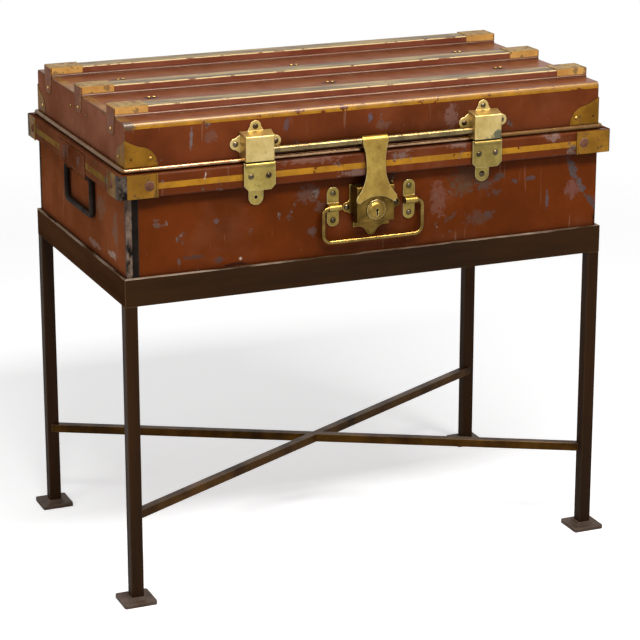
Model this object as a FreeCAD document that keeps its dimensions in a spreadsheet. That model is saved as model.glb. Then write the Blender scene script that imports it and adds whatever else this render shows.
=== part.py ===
import FreeCAD, Part
import math
import os
import Sketcher

Vector = FreeCAD.Vector
Rotation = FreeCAD.Rotation
Placement = FreeCAD.Placement

# A sheet-steel ship trunk that rests in the angle-iron tray of its own stand.
# +X runs to the right along the front, +Y to the back, +Z up; the origin is on
# the floor under the centre of the stand. All sizes are in millimetres.
SIZES = {
    # Fits and cuts
    "overrun": 5,
    "pin_gap": 0.06,
    "swing_gap": 0.4,
    # Stand
    "stand_height": 502,
    "rim_height": 42,
    "rim_thick": 4,
    "ledge_width": 25,
    "tray_gap": 2,
    "leg_side": 19,
    "leg_wall": 1.6,
    "leg_round": 1.5,
    "foot_side": 50,
    "foot_thick": 6,
    "foot_round": 3,
    "weld_leg": 4,
    "weld_lip": 0.6,
    "stretcher_side": 12.7,
    "stretcher_rise": 134.5,
    # Shell of the trunk
    "trunk_length": 762,
    "trunk_depth": 430,
    "body_height": 192,
    "sheet": 1.2,
    "bend_radius": 8,
    "end_flange": 10,
    "iron_width": 19,
    "iron_thick": 1,
    "iron_lip": 3,
    # Collar band round the mouth
    "band_height": 35,
    "band_stand": 14,
    "band_corner": 4,
    "band_round": 3,
    "strap_front": 44,
    "strap_end": 30,
    "strap_sheet": 1.2,
    "strap_lip": 2.5,
    "strap_lip_rise": 1,
    "nail_inset": 12.7,
    # Round heads of the fasteners
    "nail_radius": 7.5,
    "nail_rise": 2.6,
    "nail_shank": 2.5,
    "rivet_radius": 4.4,
    "rivet_rise": 2.6,
    "rivet_shank": 1.8,
    "stud_radius": 2.8,
    "stud_rise": 1.7,
    "stud_shank": 1.1,
    "tack_radius": 1.9,
    # Lid
    "lid_inset": 0.5,
    "lid_height": 71.6,
    "lid_round": 6,
    "bead_radius": 3.6,
    "rib_rise": 4.6,
    "rib_base": 41,
    "rib_top": 36,
    "rib_round": 5,
    "batten_width": 33,
    "batten_height": 9.7,
    "batten_round": 2.5,
    "cap_length": 50,
    "cap_sheet": 1.2,
    "cap_round": 1.8,
    "tongue_drop": 26,
    "tongue_width": 33,
    "tongue_foot": 26,
    "tongue_tip": 8,
    "lid_stud_reach": 287,
    "lid_stud_pair": 8,
    "lid_stud_front": 60,
    "lid_stud_rear": 84,
    "end_tack_reach": 39,
    "end_tack_drop": 23,
    "corner_front": 49,
    "corner_end": 37,
    "corner_rise": 48,
    "corner_sheet": 1,
    "corner_stud_inset": 11,
    "corner_stud_rise": 19,
    "corner_hole": 9,
    "corner_hole_radius": 1.4,
    # Catches
    "catch_place": 183,
    "hood_back": 49,
    "hood_front": 44,
    "hood_depth": 20.5,
    "hood_foot": 4.5,
    "hood_top": 46,
    "hood_brow": 5,
    "press_round": 2,
    "brass_sheet": 1.5,
    "lug_radius": 8.5,
    "lug_web": 13,
    "lug_reach": 31,
    "lug_rise": 28,
    "top_lug_rise": 52,
    "striker_width": 48.5,
    "striker_drop": 39,
    "striker_rise": 2.2,
    "striker_sheet": 4,
    "striker_chamfer": 7,
    "roll_radius": 3,
    "roll_length": 44,
    "striker_rivet_pitch": 27.6,
    "striker_rivet_drop": 17.7,
    "tab_width": 23,
    "empty_hole": 2.6,
    "tab_drop": 64.7,
    # Turning rod and hasp
    "rod_radius": 5.5,
    "rod_stand": 9.8,
    "rod_rise": 17.5,
    "hook_reach": 8.8,
    "hook_width": 16,
    "hook_sheet": 3,
    "hook_wall": 1.2,
    "hasp_sheet": 2,
    "hasp_top": 40,
    "hasp_neck": 30.4,
    "hasp_ears": 62.5,
    "hasp_shoulder_drop": 4,
    "hasp_neck_drop": 40.5,
    "hasp_ear_drop": 82.5,
    "hasp_tip_drop": 92.5,
    "hasp_tip_half": 27,
    "hasp_arch": 9.6,
    "hasp_side_radius": 110,
    "hasp_flare_radius": 62,
    "hasp_ear_radius": 6.2,
    # Lock
    "lock_drop": 86,
    "lock_depth": 19,
    "lock_half": 31.5,
    "lock_up": 37,
    "lock_down": 20,
    "lock_taper": 1.5,
    "lock_wall": 1.5,
    "lock_plate_sheet": 1.6,
    "lock_plate_half": 35,
    "lock_plate_down": 28.5,
    "lock_foot_half": 29,
    "lock_foot_drop": 24,
    "lock_side_radius": 34,
    "lock_lug_reach": 39.5,
    "lock_lug_rise": 3.5,
    "lock_lug_radius": 7,
    "lobe_half": 18,
    "lobe_drop": 42.4,
    "lobe_bend": 14,
    "notch_half": 8,
    "notch_rise": 23,
    "boss_radius": 15,
    "boss_step": 11.6,
    "boss_face": 8,
    "boss_rise": 5.5,
    "boss_rim": 1.8,
    "keyhole_radius": 2.4,
    "keyhole_slot": 2,
    "keyhole_drop": 8.5,
    "key_pin_radius": 1.3,
    "bolt_rise": 29,
    "bolt_height": 5,
    "bolt_thick": 4,
    "bolt_stand": 8.5,
    "bolt_length": 19,
    "bolt_guide": 15,
    "guide_wall": 1.6,
    "staple_thick": 4,
    "staple_wall": 2,
    "eye_gap": 0.8,
    # Front bail and its saddles
    "bail_wire": 3.2,
    "bail_half": 80,
    "bail_drop": 52,
    "bail_height": 80,
    "bail_shoulder": 9,
    "bail_corner": 12,
    "bail_stand": 9,
    "saddle_place": 61.6,
    "saddle_width": 19,
    "saddle_length": 60,
    "saddle_rivet_pitch": 41,
    "saddle_sheet": 1.5,
    # Side handles
    "grip_wire": 4,
    "grip_half": 62,
    "grip_drop": 56,
    "grip_corner": 8,
    "grip_pin": 26,
    "grip_plate_half": 63,
    "grip_plate_sheet": 1.2,
    "grip_tube": 20,
    "grip_forward": 8,
    # Hinges
    "hinge_place": 220,
    "hinge_width": 46,
    "hinge_middle": 20,
    "hinge_sheet": 1.6,
    "hinge_barrel": 4.5,
    "hinge_pin_radius": 2,
    "hinge_leaf": 28,
    "hinge_lid_leaf": 30,
    "hinge_step": 9.5,
}

# Share of the trunk's depth from one batten to the next.
BATTEN_PITCH_SHARE = 0.3628
# Shares of the lid's corner plates, along the leg and up the corner edge.
OGEE_LEG_SHARE = 0.62
OGEE_RISE_SHARE = 0.73
OGEE_DIP_SHARE = 1.4
OGEE_SWELL_SHARE = 0.62
# Shares of the lock plate's lower lobe.
LOBE_WAIST_SHARE = 0.48
LOBE_BEND_SHARE = 0.5
# Share of a lock lug's radius that its web has where it leaves the plate.
LUG_WEB_SHARE = 1.5

doc = FreeCAD.newDocument("ship_trunk")
sheet = doc.addObject("Spreadsheet::Sheet", "sizes")
for row, (alias, millimetres) in enumerate(SIZES.items(), start=1):
    sheet.set(f"A{row}", str(millimetres))
    sheet.setAlias(f"A{row}", alias)
doc.recompute()


class Size:
    """A length of the sheet, or a sum of them, with its number and its formula."""

    def __init__(self, number, formula):
        self.number = number
        self.formula = formula

    def join(self, other, sign, number):
        formula = other.formula if isinstance(other, Size) else str(other)
        return Size(number, f"({self.formula} {sign} {formula})")

    def __add__(self, other):
        return self.join(other, "+", self.number + number_of(other))

    def __sub__(self, other):
        return self.join(other, "-", self.number - number_of(other))

    def __mul__(self, other):
        return self.join(other, "*", self.number * number_of(other))

    def __truediv__(self, other):
        return self.join(other, "/", self.number / number_of(other))

    def __radd__(self, other):
        return self + other

    def __rmul__(self, other):
        return self * other

    def __rsub__(self, other):
        return -self + other

    def __neg__(self):
        return self * -1


def number_of(size):
    return size.number if isinstance(size, Size) else size


def formula_of(size):
    return size.formula if isinstance(size, Size) else str(size)


def root(size):
    return Size(math.sqrt(size.number), f"sqrt({size.formula})")


class SheetSizes:
    """Reads the sheet: s.trunk_length is that cell as a Size."""

    def __getattr__(self, alias):
        return Size(float(sheet.get(alias)), f"sizes.{alias}")


s = SheetSizes()
nodes = []
masters = []


def point(x, y, z):
    return Vector(number_of(x), number_of(y), number_of(z))


def bind(feature, name, size):
    feature.setExpression(name, formula_of(size))


def new_body(label, place=None, keep=True):
    """A body with its own label; keep=False makes a pattern piece for a group."""
    body = doc.addObject("PartDesign::Body", label)
    body.Label = label
    body.Placement = place or Placement()
    (nodes if keep else masters).append(body)
    return body


def constrain(sketch, size, kind, *geometry):
    index = sketch.addConstraint(Sketcher.Constraint(kind, *geometry, number_of(size)))
    if isinstance(size, Size):
        sketch.setExpression(f"Constraints[{index}]", size.formula)


def arc_between(start, end, radius):
    """The arc under half a turn from start to end; a negative radius turns clockwise."""
    chord = end - start
    side = Vector(-chord.y, chord.x, 0)
    side.normalize()
    rise = math.sqrt(max(radius * radius - chord.Length ** 2 / 4, 0))
    centre = (start + end) / 2 + side * math.copysign(rise, radius)
    first, last = (start, end) if radius > 0 else (end, start)
    angles = [math.atan2(tip.y - centre.y, tip.x - centre.x) for tip in (first, last)]
    circle = Part.Circle(centre, Vector(0, 0, 1), abs(radius))
    return Part.ArcOfCircle(circle, *angles)


def draw(sketch, corners, closed=True):
    """Draw an outline. A corner is (x, y), or (x, y, radius) where an arc leaves it."""
    first = sketch.GeometryCount
    count = len(corners)
    stretches = count if closed else count - 1
    starts = []
    ends = []
    for number in range(stretches):
        here = corners[number]
        there = corners[(number + 1) % count]
        start = point(here[0], here[1], 0)
        end = point(there[0], there[1], 0)
        if len(here) == 2:
            sketch.addGeometry(Part.LineSegment(start, end), False)
            starts.append(1)
            ends.append(2)
        else:
            radius = number_of(here[2])
            sketch.addGeometry(arc_between(start, end, radius), False)
            starts.append(1 if radius > 0 else 2)
            ends.append(2 if radius > 0 else 1)
    for number in range(stretches):
        here = corners[number]
        geometry = first + number
        constrain(sketch, here[0], "DistanceX", -1, 1, geometry, starts[number])
        constrain(sketch, here[1], "DistanceY", -1, 1, geometry, starts[number])
        if len(here) == 3:
            radius = here[2] if number_of(here[2]) > 0 else -here[2]
            constrain(sketch, radius, "Radius", geometry)
        following = number + 1
        if following < stretches or closed:
            following = following % stretches
            sketch.addConstraint(Sketcher.Constraint(
                "Coincident", geometry, ends[number], first + following, starts[following]))
    if not closed:
        last = first + stretches - 1
        constrain(sketch, corners[-1][0], "DistanceX", -1, 1, last, ends[-1])
        constrain(sketch, corners[-1][1], "DistanceY", -1, 1, last, ends[-1])


def draw_circle(sketch, x, y, radius):
    middle = point(x, y, 0)
    circle = sketch.addGeometry(Part.Circle(middle, Vector(0, 0, 1), number_of(radius)), False)
    constrain(sketch, x, "DistanceX", -1, 1, circle, 3)
    constrain(sketch, y, "DistanceY", -1, 1, circle, 3)
    constrain(sketch, radius, "Radius", circle)


def new_sketch(body, role, *outlines, circles=(), raised=0, closed=True):
    """A sketch on one of the body's own planes; raised moves it along the plane's normal."""
    sketch = body.newObject("Sketcher::SketchObject", f"{body.Name}_outline")
    support = [plane for plane in body.Origin.OriginFeatures if plane.Role == role]
    sketch.AttachmentSupport = [(support[0], "")]
    sketch.MapMode = "FlatFace"
    if isinstance(raised, Size):
        bind(sketch, "AttachmentOffset.Base.z", raised)
    for outline in outlines:
        draw(sketch, outline, closed)
    for circle in circles:
        draw_circle(sketch, *circle)
    return sketch


def pad(body, sketch, length, both=False, back=False):
    feature = body.newObject("PartDesign::Pad", f"{body.Name}_pad")
    feature.Profile = sketch
    feature.SideType = "Symmetric" if both else "One side"
    feature.Reversed = back
    bind(feature, "Length", length)
    return feature


def cut(body, sketch, length=None, back=False):
    """Cut right through both ways, or to a length on one side of the sketch."""
    feature = body.newObject("PartDesign::Pocket", f"{body.Name}_cut")
    feature.Profile = sketch
    if length is None:
        feature.Type = "ThroughAll"
        feature.SideType = "Symmetric"
    else:
        feature.Reversed = back
        bind(feature, "Length", length)
    return feature


def pipe(body, path, section):
    feature = body.newObject("PartDesign::AdditivePipe", f"{body.Name}_pipe")
    feature.Profile = section
    feature.Spine = (path, [f"Edge{number + 1}" for number in range(path.GeometryCount)])
    return feature


def loft(body, kind, first, second):
    feature = body.newObject(f"PartDesign::{kind}Loft", f"{body.Name}_loft")
    feature.Profile = first
    feature.Sections = [second]
    return feature


def turn(body, profile):
    feature = body.newObject("PartDesign::Revolution", f"{body.Name}_turn")
    feature.Profile = profile
    feature.ReferenceAxis = (profile, ["V_Axis"])
    return feature


def round_edges(body, radius, wanted):
    """Fillet the straight edges of the body so far for which wanted(start, end) is true."""
    doc.recompute()
    base = body.Tip
    names = []
    for number, edge in enumerate(base.Shape.Edges, start=1):
        if len(edge.Vertexes) == 2 and wanted(edge.Vertexes[0].Point, edge.Vertexes[1].Point):
            names.append(f"Edge{number}")
    feature = body.newObject("PartDesign::Fillet", f"{body.Name}_round")
    feature.Base = (base, names)
    bind(feature, "Radius", radius)
    return feature


def upright(start, end):
    return abs(start.z - end.z) > abs(start.x - end.x) + abs(start.y - end.y)


def at_front(start, end, depth):
    """True for an edge of the front face of a piece that stands depth out of the wall."""
    return max(start.y, end.y) < -number_of(depth) + number_of(s.pin_gap)


def rectangle(half_width, low, high):
    return [(-half_width, low), (half_width, low), (half_width, high), (-half_width, high)]


def square(side):
    return rectangle(side / 2, -side / 2, side / 2)


def group(label, shapes):
    """One node of separate solids."""
    node = doc.addObject("Part::Feature", label)
    node.Label = label
    node.Shape = Part.makeCompound(shapes)
    nodes.append(node)
    return node


def placed(master, place):
    """A copy of a pattern piece, moved from where it was drawn."""
    shape = master.Shape.copy()
    shape.Placement = place.multiply(shape.Placement)
    return shape


def four_corners(shape):
    """A shape drawn at the left front corner, with its mirror images at the other three."""
    across = shape.mirror(Vector(), Vector(1, 0, 0))
    behind = shape.mirror(Vector(), Vector(0, 1, 0))
    return [shape, across, behind, across.mirror(Vector(), Vector(0, 1, 0))]


FACING = {
    "up": Rotation(),
    "front": Rotation(Vector(1, 0, 0), 90),
    "back": Rotation(Vector(1, 0, 0), -90),
    "left": Rotation(Vector(0, 1, 0), -90),
    "right": Rotation(Vector(0, 1, 0), 90),
}

# Levels and faces that several pieces share
leg_top = s.stand_height - s.rim_height
base_level = leg_top + s.rim_thick
mouth_level = base_level + s.body_height
front_face = -s.trunk_depth / 2
end_face = s.trunk_length / 2
tray_half_length = end_face + s.tray_gap + s.rim_thick
tray_half_depth = s.trunk_depth / 2 + s.tray_gap + s.rim_thick
lid_level = mouth_level + s.swing_gap
lid_half = end_face - s.lid_inset
lid_top = lid_level + s.lid_height
band_face = front_face - s.band_stand


# Stand

def make_rail(label, half_length, place):
    """A length of angle iron, mitred at both ends."""
    rail = new_body(label, place)
    section = [(0, 0), (s.ledge_width, 0), (s.ledge_width, s.rim_thick), (s.rim_thick, s.rim_thick),
               (s.rim_thick, s.rim_height), (0, s.rim_height)]
    pad(rail, new_sketch(rail, "YZ_Plane", section), half_length * 2, both=True)
    reach = s.ledge_width + s.overrun
    for side in (-1, 1):
        mitre = [(half_length * side, 0), ((half_length - reach) * side, reach),
                 ((half_length + s.overrun) * side, reach), ((half_length + s.overrun) * side, 0)]
        cut(rail, new_sketch(rail, "XY_Plane", mitre))


def make_tray():
    upright_turn = Vector(0, 0, 1)
    make_rail("front_rail", tray_half_length, Placement(point(0, -tray_half_depth, leg_top), Rotation()))
    make_rail("back_rail", tray_half_length,
              Placement(point(0, tray_half_depth, leg_top), Rotation(upright_turn, 180)))
    make_rail("left_rail", tray_half_depth,
              Placement(point(-tray_half_length, 0, leg_top), Rotation(upright_turn, -90)))
    make_rail("right_rail", tray_half_depth,
              Placement(point(tray_half_length, 0, leg_top), Rotation(upright_turn, 90)))


leg_x = tray_half_length - s.leg_side / 2
leg_y = tray_half_depth - s.leg_side / 2
LEG_CORNERS = {
    "front_left": (-1, -1),
    "front_right": (1, -1),
    "back_left": (-1, 1),
    "back_right": (1, 1),
}


def make_legs():
    for name, (right, back) in LEG_CORNERS.items():
        leg = new_body(f"{name}_leg", Placement(point(leg_x * right, leg_y * back, s.foot_thick), Rotation()))
        tube = new_sketch(leg, "XY_Plane", square(s.leg_side), square(s.leg_side - s.leg_wall * 2))
        pad(leg, tube, leg_top - s.foot_thick)
        outside = number_of(s.leg_side) / 2 - number_of(s.leg_wall) / 2
        round_edges(leg, s.leg_round, lambda start, end: upright(start, end) and abs(start.x) > outside)


def make_feet():
    """Square plates with a bead of weld round the foot of each leg."""
    foot = new_body("foot_plate", keep=False)
    pad(foot, new_sketch(foot, "XY_Plane", square(s.foot_side)), s.foot_thick)
    round_edges(foot, s.foot_round, upright)
    weld_top = s.foot_thick + s.weld_leg
    loft(foot, "Additive",
         new_sketch(foot, "XY_Plane", square(s.leg_side + s.weld_leg * 2), raised=s.foot_thick),
         new_sketch(foot, "XY_Plane", square(s.leg_side + s.weld_lip * 2), raised=weld_top))
    cut(foot, new_sketch(foot, "XY_Plane", square(s.leg_side), raised=s.foot_thick),
        s.weld_leg + s.overrun, back=True)
    return foot


stretcher_x = tray_half_length - s.leg_side
stretcher_y = tray_half_depth - s.leg_side
stretcher_half = root(stretcher_x * stretcher_x + stretcher_y * stretcher_y)


def make_stretchers():
    """A crossing of two bars: one runs through, the other is welded to its sides.

    Each outer end is notched to sit over the inner edge of its leg."""
    half = s.stretcher_side / 2
    steep = half * stretcher_x / stretcher_y
    gentle = half * stretcher_y / stretcher_x
    lean = math.degrees(math.atan2(stretcher_y.number, stretcher_x.number))
    middle = point(0, 0, s.stretcher_rise)
    whole = new_body("through_stretcher", Placement(middle, Rotation(Vector(0, 0, 1), lean)))
    outline = [(stretcher_half + steep, -half), (stretcher_half, 0), (stretcher_half + gentle, half),
               (-stretcher_half - steep, half), (-stretcher_half, 0), (-stretcher_half - gentle, -half)]
    pad(whole, new_sketch(whole, "XY_Plane", outline), s.stretcher_side, both=True)
    for label, angle in (("front_right_stretcher", -lean), ("back_left_stretcher", 180 - lean)):
        bar = new_body(label, Placement(middle, Rotation(Vector(0, 0, 1), angle)))
        outline = [(gentle, -half), (stretcher_half + gentle, -half), (stretcher_half, 0),
                   (stretcher_half + steep, half), (steep, half)]
        pad(bar, new_sketch(bar, "XY_Plane", outline), s.stretcher_side, both=True)


# Trunk body

def make_body_shell():
    """One sheet bent into front, bottom and back, closed by two flanged ends."""
    half = s.trunk_depth / 2
    bend = s.bend_radius
    inner = half - s.sheet
    shell = new_body("body_wrapper", Placement(point(0, 0, base_level), Rotation()))
    section = [(-half, s.body_height), (-half, bend, bend), (-half + bend, 0),
               (half - bend, 0, bend), (half, bend), (half, s.body_height), (inner, s.body_height),
               (inner, bend, -(bend - s.sheet)), (half - bend, s.sheet),
               (-half + bend, s.sheet, -(bend - s.sheet)), (-inner, bend), (-inner, s.body_height)]
    pad(shell, new_sketch(shell, "YZ_Plane", section), s.trunk_length, both=True)
    lip = inner - s.sheet
    for label, side, angle in (("body_left_end", -1, 0), ("body_right_end", 1, 180)):
        end = new_body(label, Placement(point(end_face * side, 0, base_level),
                                        Rotation(Vector(0, 0, 1), angle)))
        outline = [(-inner, s.body_height), (-inner, bend + s.sheet, bend), (-inner + bend, s.sheet),
                   (inner - bend, s.sheet, bend), (inner, bend + s.sheet), (inner, s.body_height)]
        pad(end, new_sketch(end, "YZ_Plane", outline), s.end_flange)
        floor = s.sheet * 2
        hollow = [(-lip, s.body_height + s.overrun), (-lip, bend + s.sheet, bend - s.sheet),
                  (-lip + bend - s.sheet, floor), (lip - bend + s.sheet, floor, bend - s.sheet),
                  (lip, bend + s.sheet), (lip, s.body_height + s.overrun)]
        cut(end, new_sketch(end, "YZ_Plane", hollow, raised=s.sheet), s.end_flange, back=True)


def make_corner_irons():
    """The strip over an upright corner, from the tray to the band; only the left end has kept them."""
    iron = new_body("corner_iron", Placement(point(-end_face, front_face, base_level + s.bend_radius),
                                             Rotation()), keep=False)
    wide = s.iron_width - s.iron_thick
    section = [(-s.iron_thick, -s.iron_thick), (wide, -s.iron_thick), (wide, 0), (0, 0), (0, s.iron_lip),
               (-s.iron_thick, s.iron_lip)]
    pad(iron, new_sketch(iron, "XY_Plane", section), s.body_height - s.bend_radius - s.band_height)
    return iron


def make_band(label, half_length, place):
    """A pressed channel against the wall, mitred where it meets the next one."""
    band = new_body(label, place)
    stand = s.band_stand
    bend = s.band_round
    inner = bend - s.sheet
    low = -s.band_height
    section = [(0, 0), (bend - stand, 0, bend), (-stand, -bend), (-stand, low + bend, bend),
               (bend - stand, low), (0, low), (0, low + s.sheet), (bend - stand, low + s.sheet, -inner),
               (s.sheet - stand, low + bend), (s.sheet - stand, -bend, -inner),
               (bend - stand, -s.sheet), (0, -s.sheet)]
    pad(band, new_sketch(band, "YZ_Plane", section), (half_length + stand) * 2, both=True)
    square = stand - s.band_corner
    slant = square + s.band_corner / math.sqrt(2)
    straight = half_length + square
    far = half_length + stand + s.overrun
    for side in (-1, 1):
        mitre = [(half_length * side, 0), ((half_length + slant) * side, -slant, s.band_corner * -side),
                 (straight * side, -stand), (straight * side, -stand - s.overrun),
                 (far * side, -stand - s.overrun), (far * side, s.overrun), (half_length * side, s.overrun)]
        cut(band, new_sketch(band, "XY_Plane", mitre))


def make_bands():
    about = Vector(0, 0, 1)
    make_band("front_band", end_face, Placement(point(0, front_face, mouth_level), Rotation()))
    make_band("back_band", end_face, Placement(point(0, -front_face, mouth_level), Rotation(about, 180)))
    make_band("left_band", -front_face, Placement(point(-end_face, 0, mouth_level), Rotation(about, -90)))
    make_band("right_band", -front_face, Placement(point(end_face, 0, mouth_level), Rotation(about, 90)))


strap_nail_front = s.strap_front - s.nail_inset
strap_nail_end = s.strap_end - s.nail_inset


def make_corner_strap():
    """A sheet strap bent round a corner of the band and nailed through both legs."""
    strap = new_body("corner_strap", Placement(point(-end_face, front_face, mouth_level - s.band_height),
                                               Rotation()), keep=False)
    inner = s.band_stand
    outer = s.band_stand + s.strap_sheet
    crest = outer + s.strap_lip_rise
    front_lip = s.strap_front - s.strap_lip
    end_lip = s.strap_end - s.strap_lip
    square = inner - s.band_corner
    section = [(s.strap_front, -crest), (front_lip, -crest), (front_lip, -outer),
               (-square, -outer, -s.band_corner - s.strap_sheet), (-outer, -square), (-outer, end_lip),
               (-crest, end_lip), (-crest, s.strap_end), (-inner, s.strap_end),
               (-inner, -square, s.band_corner), (-square, -inner), (s.strap_front, -inner)]
    pad(strap, new_sketch(strap, "XY_Plane", section), s.band_height)
    hole = s.nail_shank + s.pin_gap
    level = s.band_height / 2
    cut(strap, new_sketch(strap, "XZ_Plane", circles=[(strap_nail_front, level, hole)]),
        outer + s.overrun, back=True)
    cut(strap, new_sketch(strap, "YZ_Plane", circles=[(strap_nail_end, level, hole)]),
        outer + s.overrun)
    return strap


def make_fastener(label, radius, rise, shank, grip):
    """A round head on a shank; the head's flat side is at zero and faces down."""
    fastener = new_body(label, keep=False)
    dome = (radius * radius + rise * rise) / (rise * 2)
    profile = [(0, -grip), (shank, -grip), (shank, 0), (radius, 0, dome), (0, rise)]
    turn(fastener, new_sketch(fastener, "XZ_Plane", profile))
    return fastener


def make_striker(label, side):
    """The catch's lower plate: on the band, back under it and down the wall to a tab.

    The left tab has lost its rivet, and its hole is worn wide."""
    striker = new_body(label, Placement(point(s.catch_place * side, band_face, mouth_level), Rotation()))
    half = s.striker_width / 2
    low = -s.striker_drop
    chamfer = s.striker_chamfer
    outline = [(-half, low + chamfer), (-half + chamfer, low), (half - chamfer, low), (half, low + chamfer),
               (half, s.striker_rise), (-half, s.striker_rise)]
    hole = s.rivet_shank + s.pin_gap
    rivets = [(s.striker_rivet_pitch / 2 * way, -s.striker_rivet_drop, hole) for way in (-1, 1)]
    pad(striker, new_sketch(striker, "XZ_Plane", outline, circles=rivets), s.striker_sheet)
    roll = (-s.striker_sheet, s.striker_rise - s.roll_radius, s.roll_radius)
    pad(striker, new_sketch(striker, "YZ_Plane", circles=[roll]), s.roll_length, both=True)
    tab = s.tab_width / 2
    under = -s.band_height
    shelf = [(-s.striker_sheet, under - s.brass_sheet), (s.band_stand, under - s.brass_sheet),
             (s.band_stand, under), (-s.striker_sheet, under)]
    pad(striker, new_sketch(striker, "YZ_Plane", shelf), s.tab_width, both=True)
    tip = -s.tab_drop
    tongue = [(-tab, under), (-tab, tip + tab, tab), (0, tip, tab), (tab, tip + tab), (tab, under)]
    tab_hole = s.empty_hole if side < 0 else hole
    pad(striker, new_sketch(striker, "XZ_Plane", tongue, circles=[(0, tip + tab, tab_hole)],
                            raised=-s.band_stand), s.brass_sheet)


def make_saddle(label, side):
    """A round-ended strap with an ear that carries one end of the bail."""
    saddle = new_body(label, Placement(point(s.saddle_place * side, front_face, mouth_level - s.bail_height),
                                       Rotation()))
    half = s.saddle_width / 2
    end = s.saddle_length / 2
    outline = [(-half, end - half, -half), (0, end, -half), (half, end - half), (half, half - end, -half),
               (0, -end, -half), (-half, half - end)]
    hole = s.rivet_shank + s.pin_gap
    rivets = [(0, s.saddle_rivet_pitch / 2 * way, hole) for way in (-1, 1)]
    pad(saddle, new_sketch(saddle, "XZ_Plane", outline, circles=rivets), s.saddle_sheet)
    bore = s.bail_wire + s.pin_gap
    ear = bore + s.saddle_sheet
    arch = [(0, -ear - s.saddle_sheet), (-s.bail_stand, -ear, -ear), (-s.bail_stand - ear, 0, -ear),
            (-s.bail_stand, ear), (0, ear + s.saddle_sheet)]
    pad(saddle, new_sketch(saddle, "YZ_Plane", arch, circles=[(-s.bail_stand, 0, bore)]),
        s.saddle_width, both=True)


bolt_left = -s.notch_half - s.swing_gap - s.bolt_length


def make_lock_plate():
    """The lock's base plate with its two lugs, lower lobe and the guide of the bolt."""
    plate = new_body("lock_plate", Placement(point(0, front_face, mouth_level - s.lock_drop), Rotation()))
    half = s.lock_plate_half
    low = -s.lock_plate_down
    foot = s.lock_foot_half
    shelf = -s.lock_foot_drop
    side_bend = s.lock_side_radius
    waist = s.lobe_half * LOBE_WAIST_SHARE
    sag = (s.lobe_drop - s.lock_plate_down) * LOBE_BEND_SHARE
    neck = low - sag
    bulge = (waist * waist + sag * sag) / (sag * 2)
    outline = [(-foot, low), (-s.lobe_half, low, -s.lobe_bend), (-waist, neck, bulge),
               (waist, neck, -s.lobe_bend), (s.lobe_half, low), (foot, low), (foot, shelf, -side_bend),
               (half, 0), (half, s.lock_up), (-half, s.lock_up), (-half, 0, -side_bend), (-foot, shelf)]
    pad(plate, new_sketch(plate, "XZ_Plane", outline), s.lock_plate_sheet)
    for side in (-1, 1):
        reach = s.lock_lug_reach * side
        web = s.lock_lug_radius * LUG_WEB_SHARE
        wing = [((half - s.overrun) * side, s.lock_lug_rise - web), (half * side, s.lock_lug_rise - web),
                (reach, s.lock_lug_rise - s.lock_lug_radius), (reach, s.lock_lug_rise + s.lock_lug_radius),
                (half * side, s.lock_lug_rise + web), ((half - s.overrun) * side, s.lock_lug_rise + web)]
        pad(plate, new_sketch(plate, "XZ_Plane", wing), s.lock_plate_sheet)
        lug = (reach, s.lock_lug_rise, s.lock_lug_radius)
        pad(plate, new_sketch(plate, "XZ_Plane", circles=[lug]), s.lock_plate_sheet)
        hole = (reach, s.lock_lug_rise, s.rivet_shank + s.pin_gap)
        cut(plate, new_sketch(plate, "XZ_Plane", circles=[hole]))
    channel = s.bolt_height / 2 + s.swing_gap
    cheek = channel + s.guide_wall
    seat = s.bolt_stand - s.swing_gap
    face = s.bolt_stand + s.bolt_thick
    section = [(-s.lock_plate_sheet, s.bolt_rise - cheek), (-s.lock_plate_sheet, s.bolt_rise + cheek),
               (-face, s.bolt_rise + cheek), (-face, s.bolt_rise + channel), (-seat, s.bolt_rise + channel),
               (-seat, s.bolt_rise - channel), (-face, s.bolt_rise - channel), (-face, s.bolt_rise - cheek)]
    pad(plate, new_sketch(plate, "YZ_Plane", section, raised=bolt_left), s.bolt_guide)


def make_lock_case():
    """A pressed box on the plate, with a notch for the staple that is open above and in front."""
    case = new_body("lock_case", Placement(point(0, front_face, mouth_level - s.lock_drop), Rotation()))
    small = s.lock_taper
    back = rectangle(s.lock_half, -s.lock_down, s.lock_up)
    front = rectangle(s.lock_half - small, small - s.lock_down, s.lock_up - small)
    loft(case, "Additive", new_sketch(case, "XZ_Plane", back, raised=s.lock_plate_sheet),
         new_sketch(case, "XZ_Plane", front, raised=s.lock_depth))
    round_edges(case, s.press_round, lambda start, end: at_front(start, end, s.lock_depth))
    inset = s.lock_wall + small
    hollow = rectangle(s.lock_half - inset, inset - s.lock_down, s.lock_up - inset)
    cut(case, new_sketch(case, "XZ_Plane", hollow, raised=s.lock_depth - s.lock_wall), s.lock_depth)
    notch = rectangle(s.notch_half, s.notch_rise, s.lock_up + s.overrun)
    cut(case, new_sketch(case, "XZ_Plane", notch, raised=s.lock_plate_sheet), s.lock_depth, back=True)
    opening = rectangle(s.keyhole_radius, -s.keyhole_drop, s.keyhole_radius)
    cut(case, new_sketch(case, "XZ_Plane", opening))


def make_boss():
    """A stepped, turned boss round the keyhole."""
    boss = new_body("keyhole_boss", Placement(point(0, front_face - s.lock_depth, mouth_level - s.lock_drop),
                                              FACING["front"]))
    profile = [(0, 0), (s.boss_radius, 0), (s.boss_radius, s.boss_rim), (s.boss_step, s.boss_rim),
               (s.boss_step, s.boss_rise / 2, s.boss_rise), (s.boss_face, s.boss_rise), (0, s.boss_rise)]
    turn(boss, new_sketch(boss, "XZ_Plane", profile))
    slot = rectangle(s.keyhole_slot / 2, -s.keyhole_drop, 0)
    cut(boss, new_sketch(boss, "XY_Plane", slot))
    cut(boss, new_sketch(boss, "XY_Plane", circles=[(0, 0, s.keyhole_radius)]))


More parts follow.
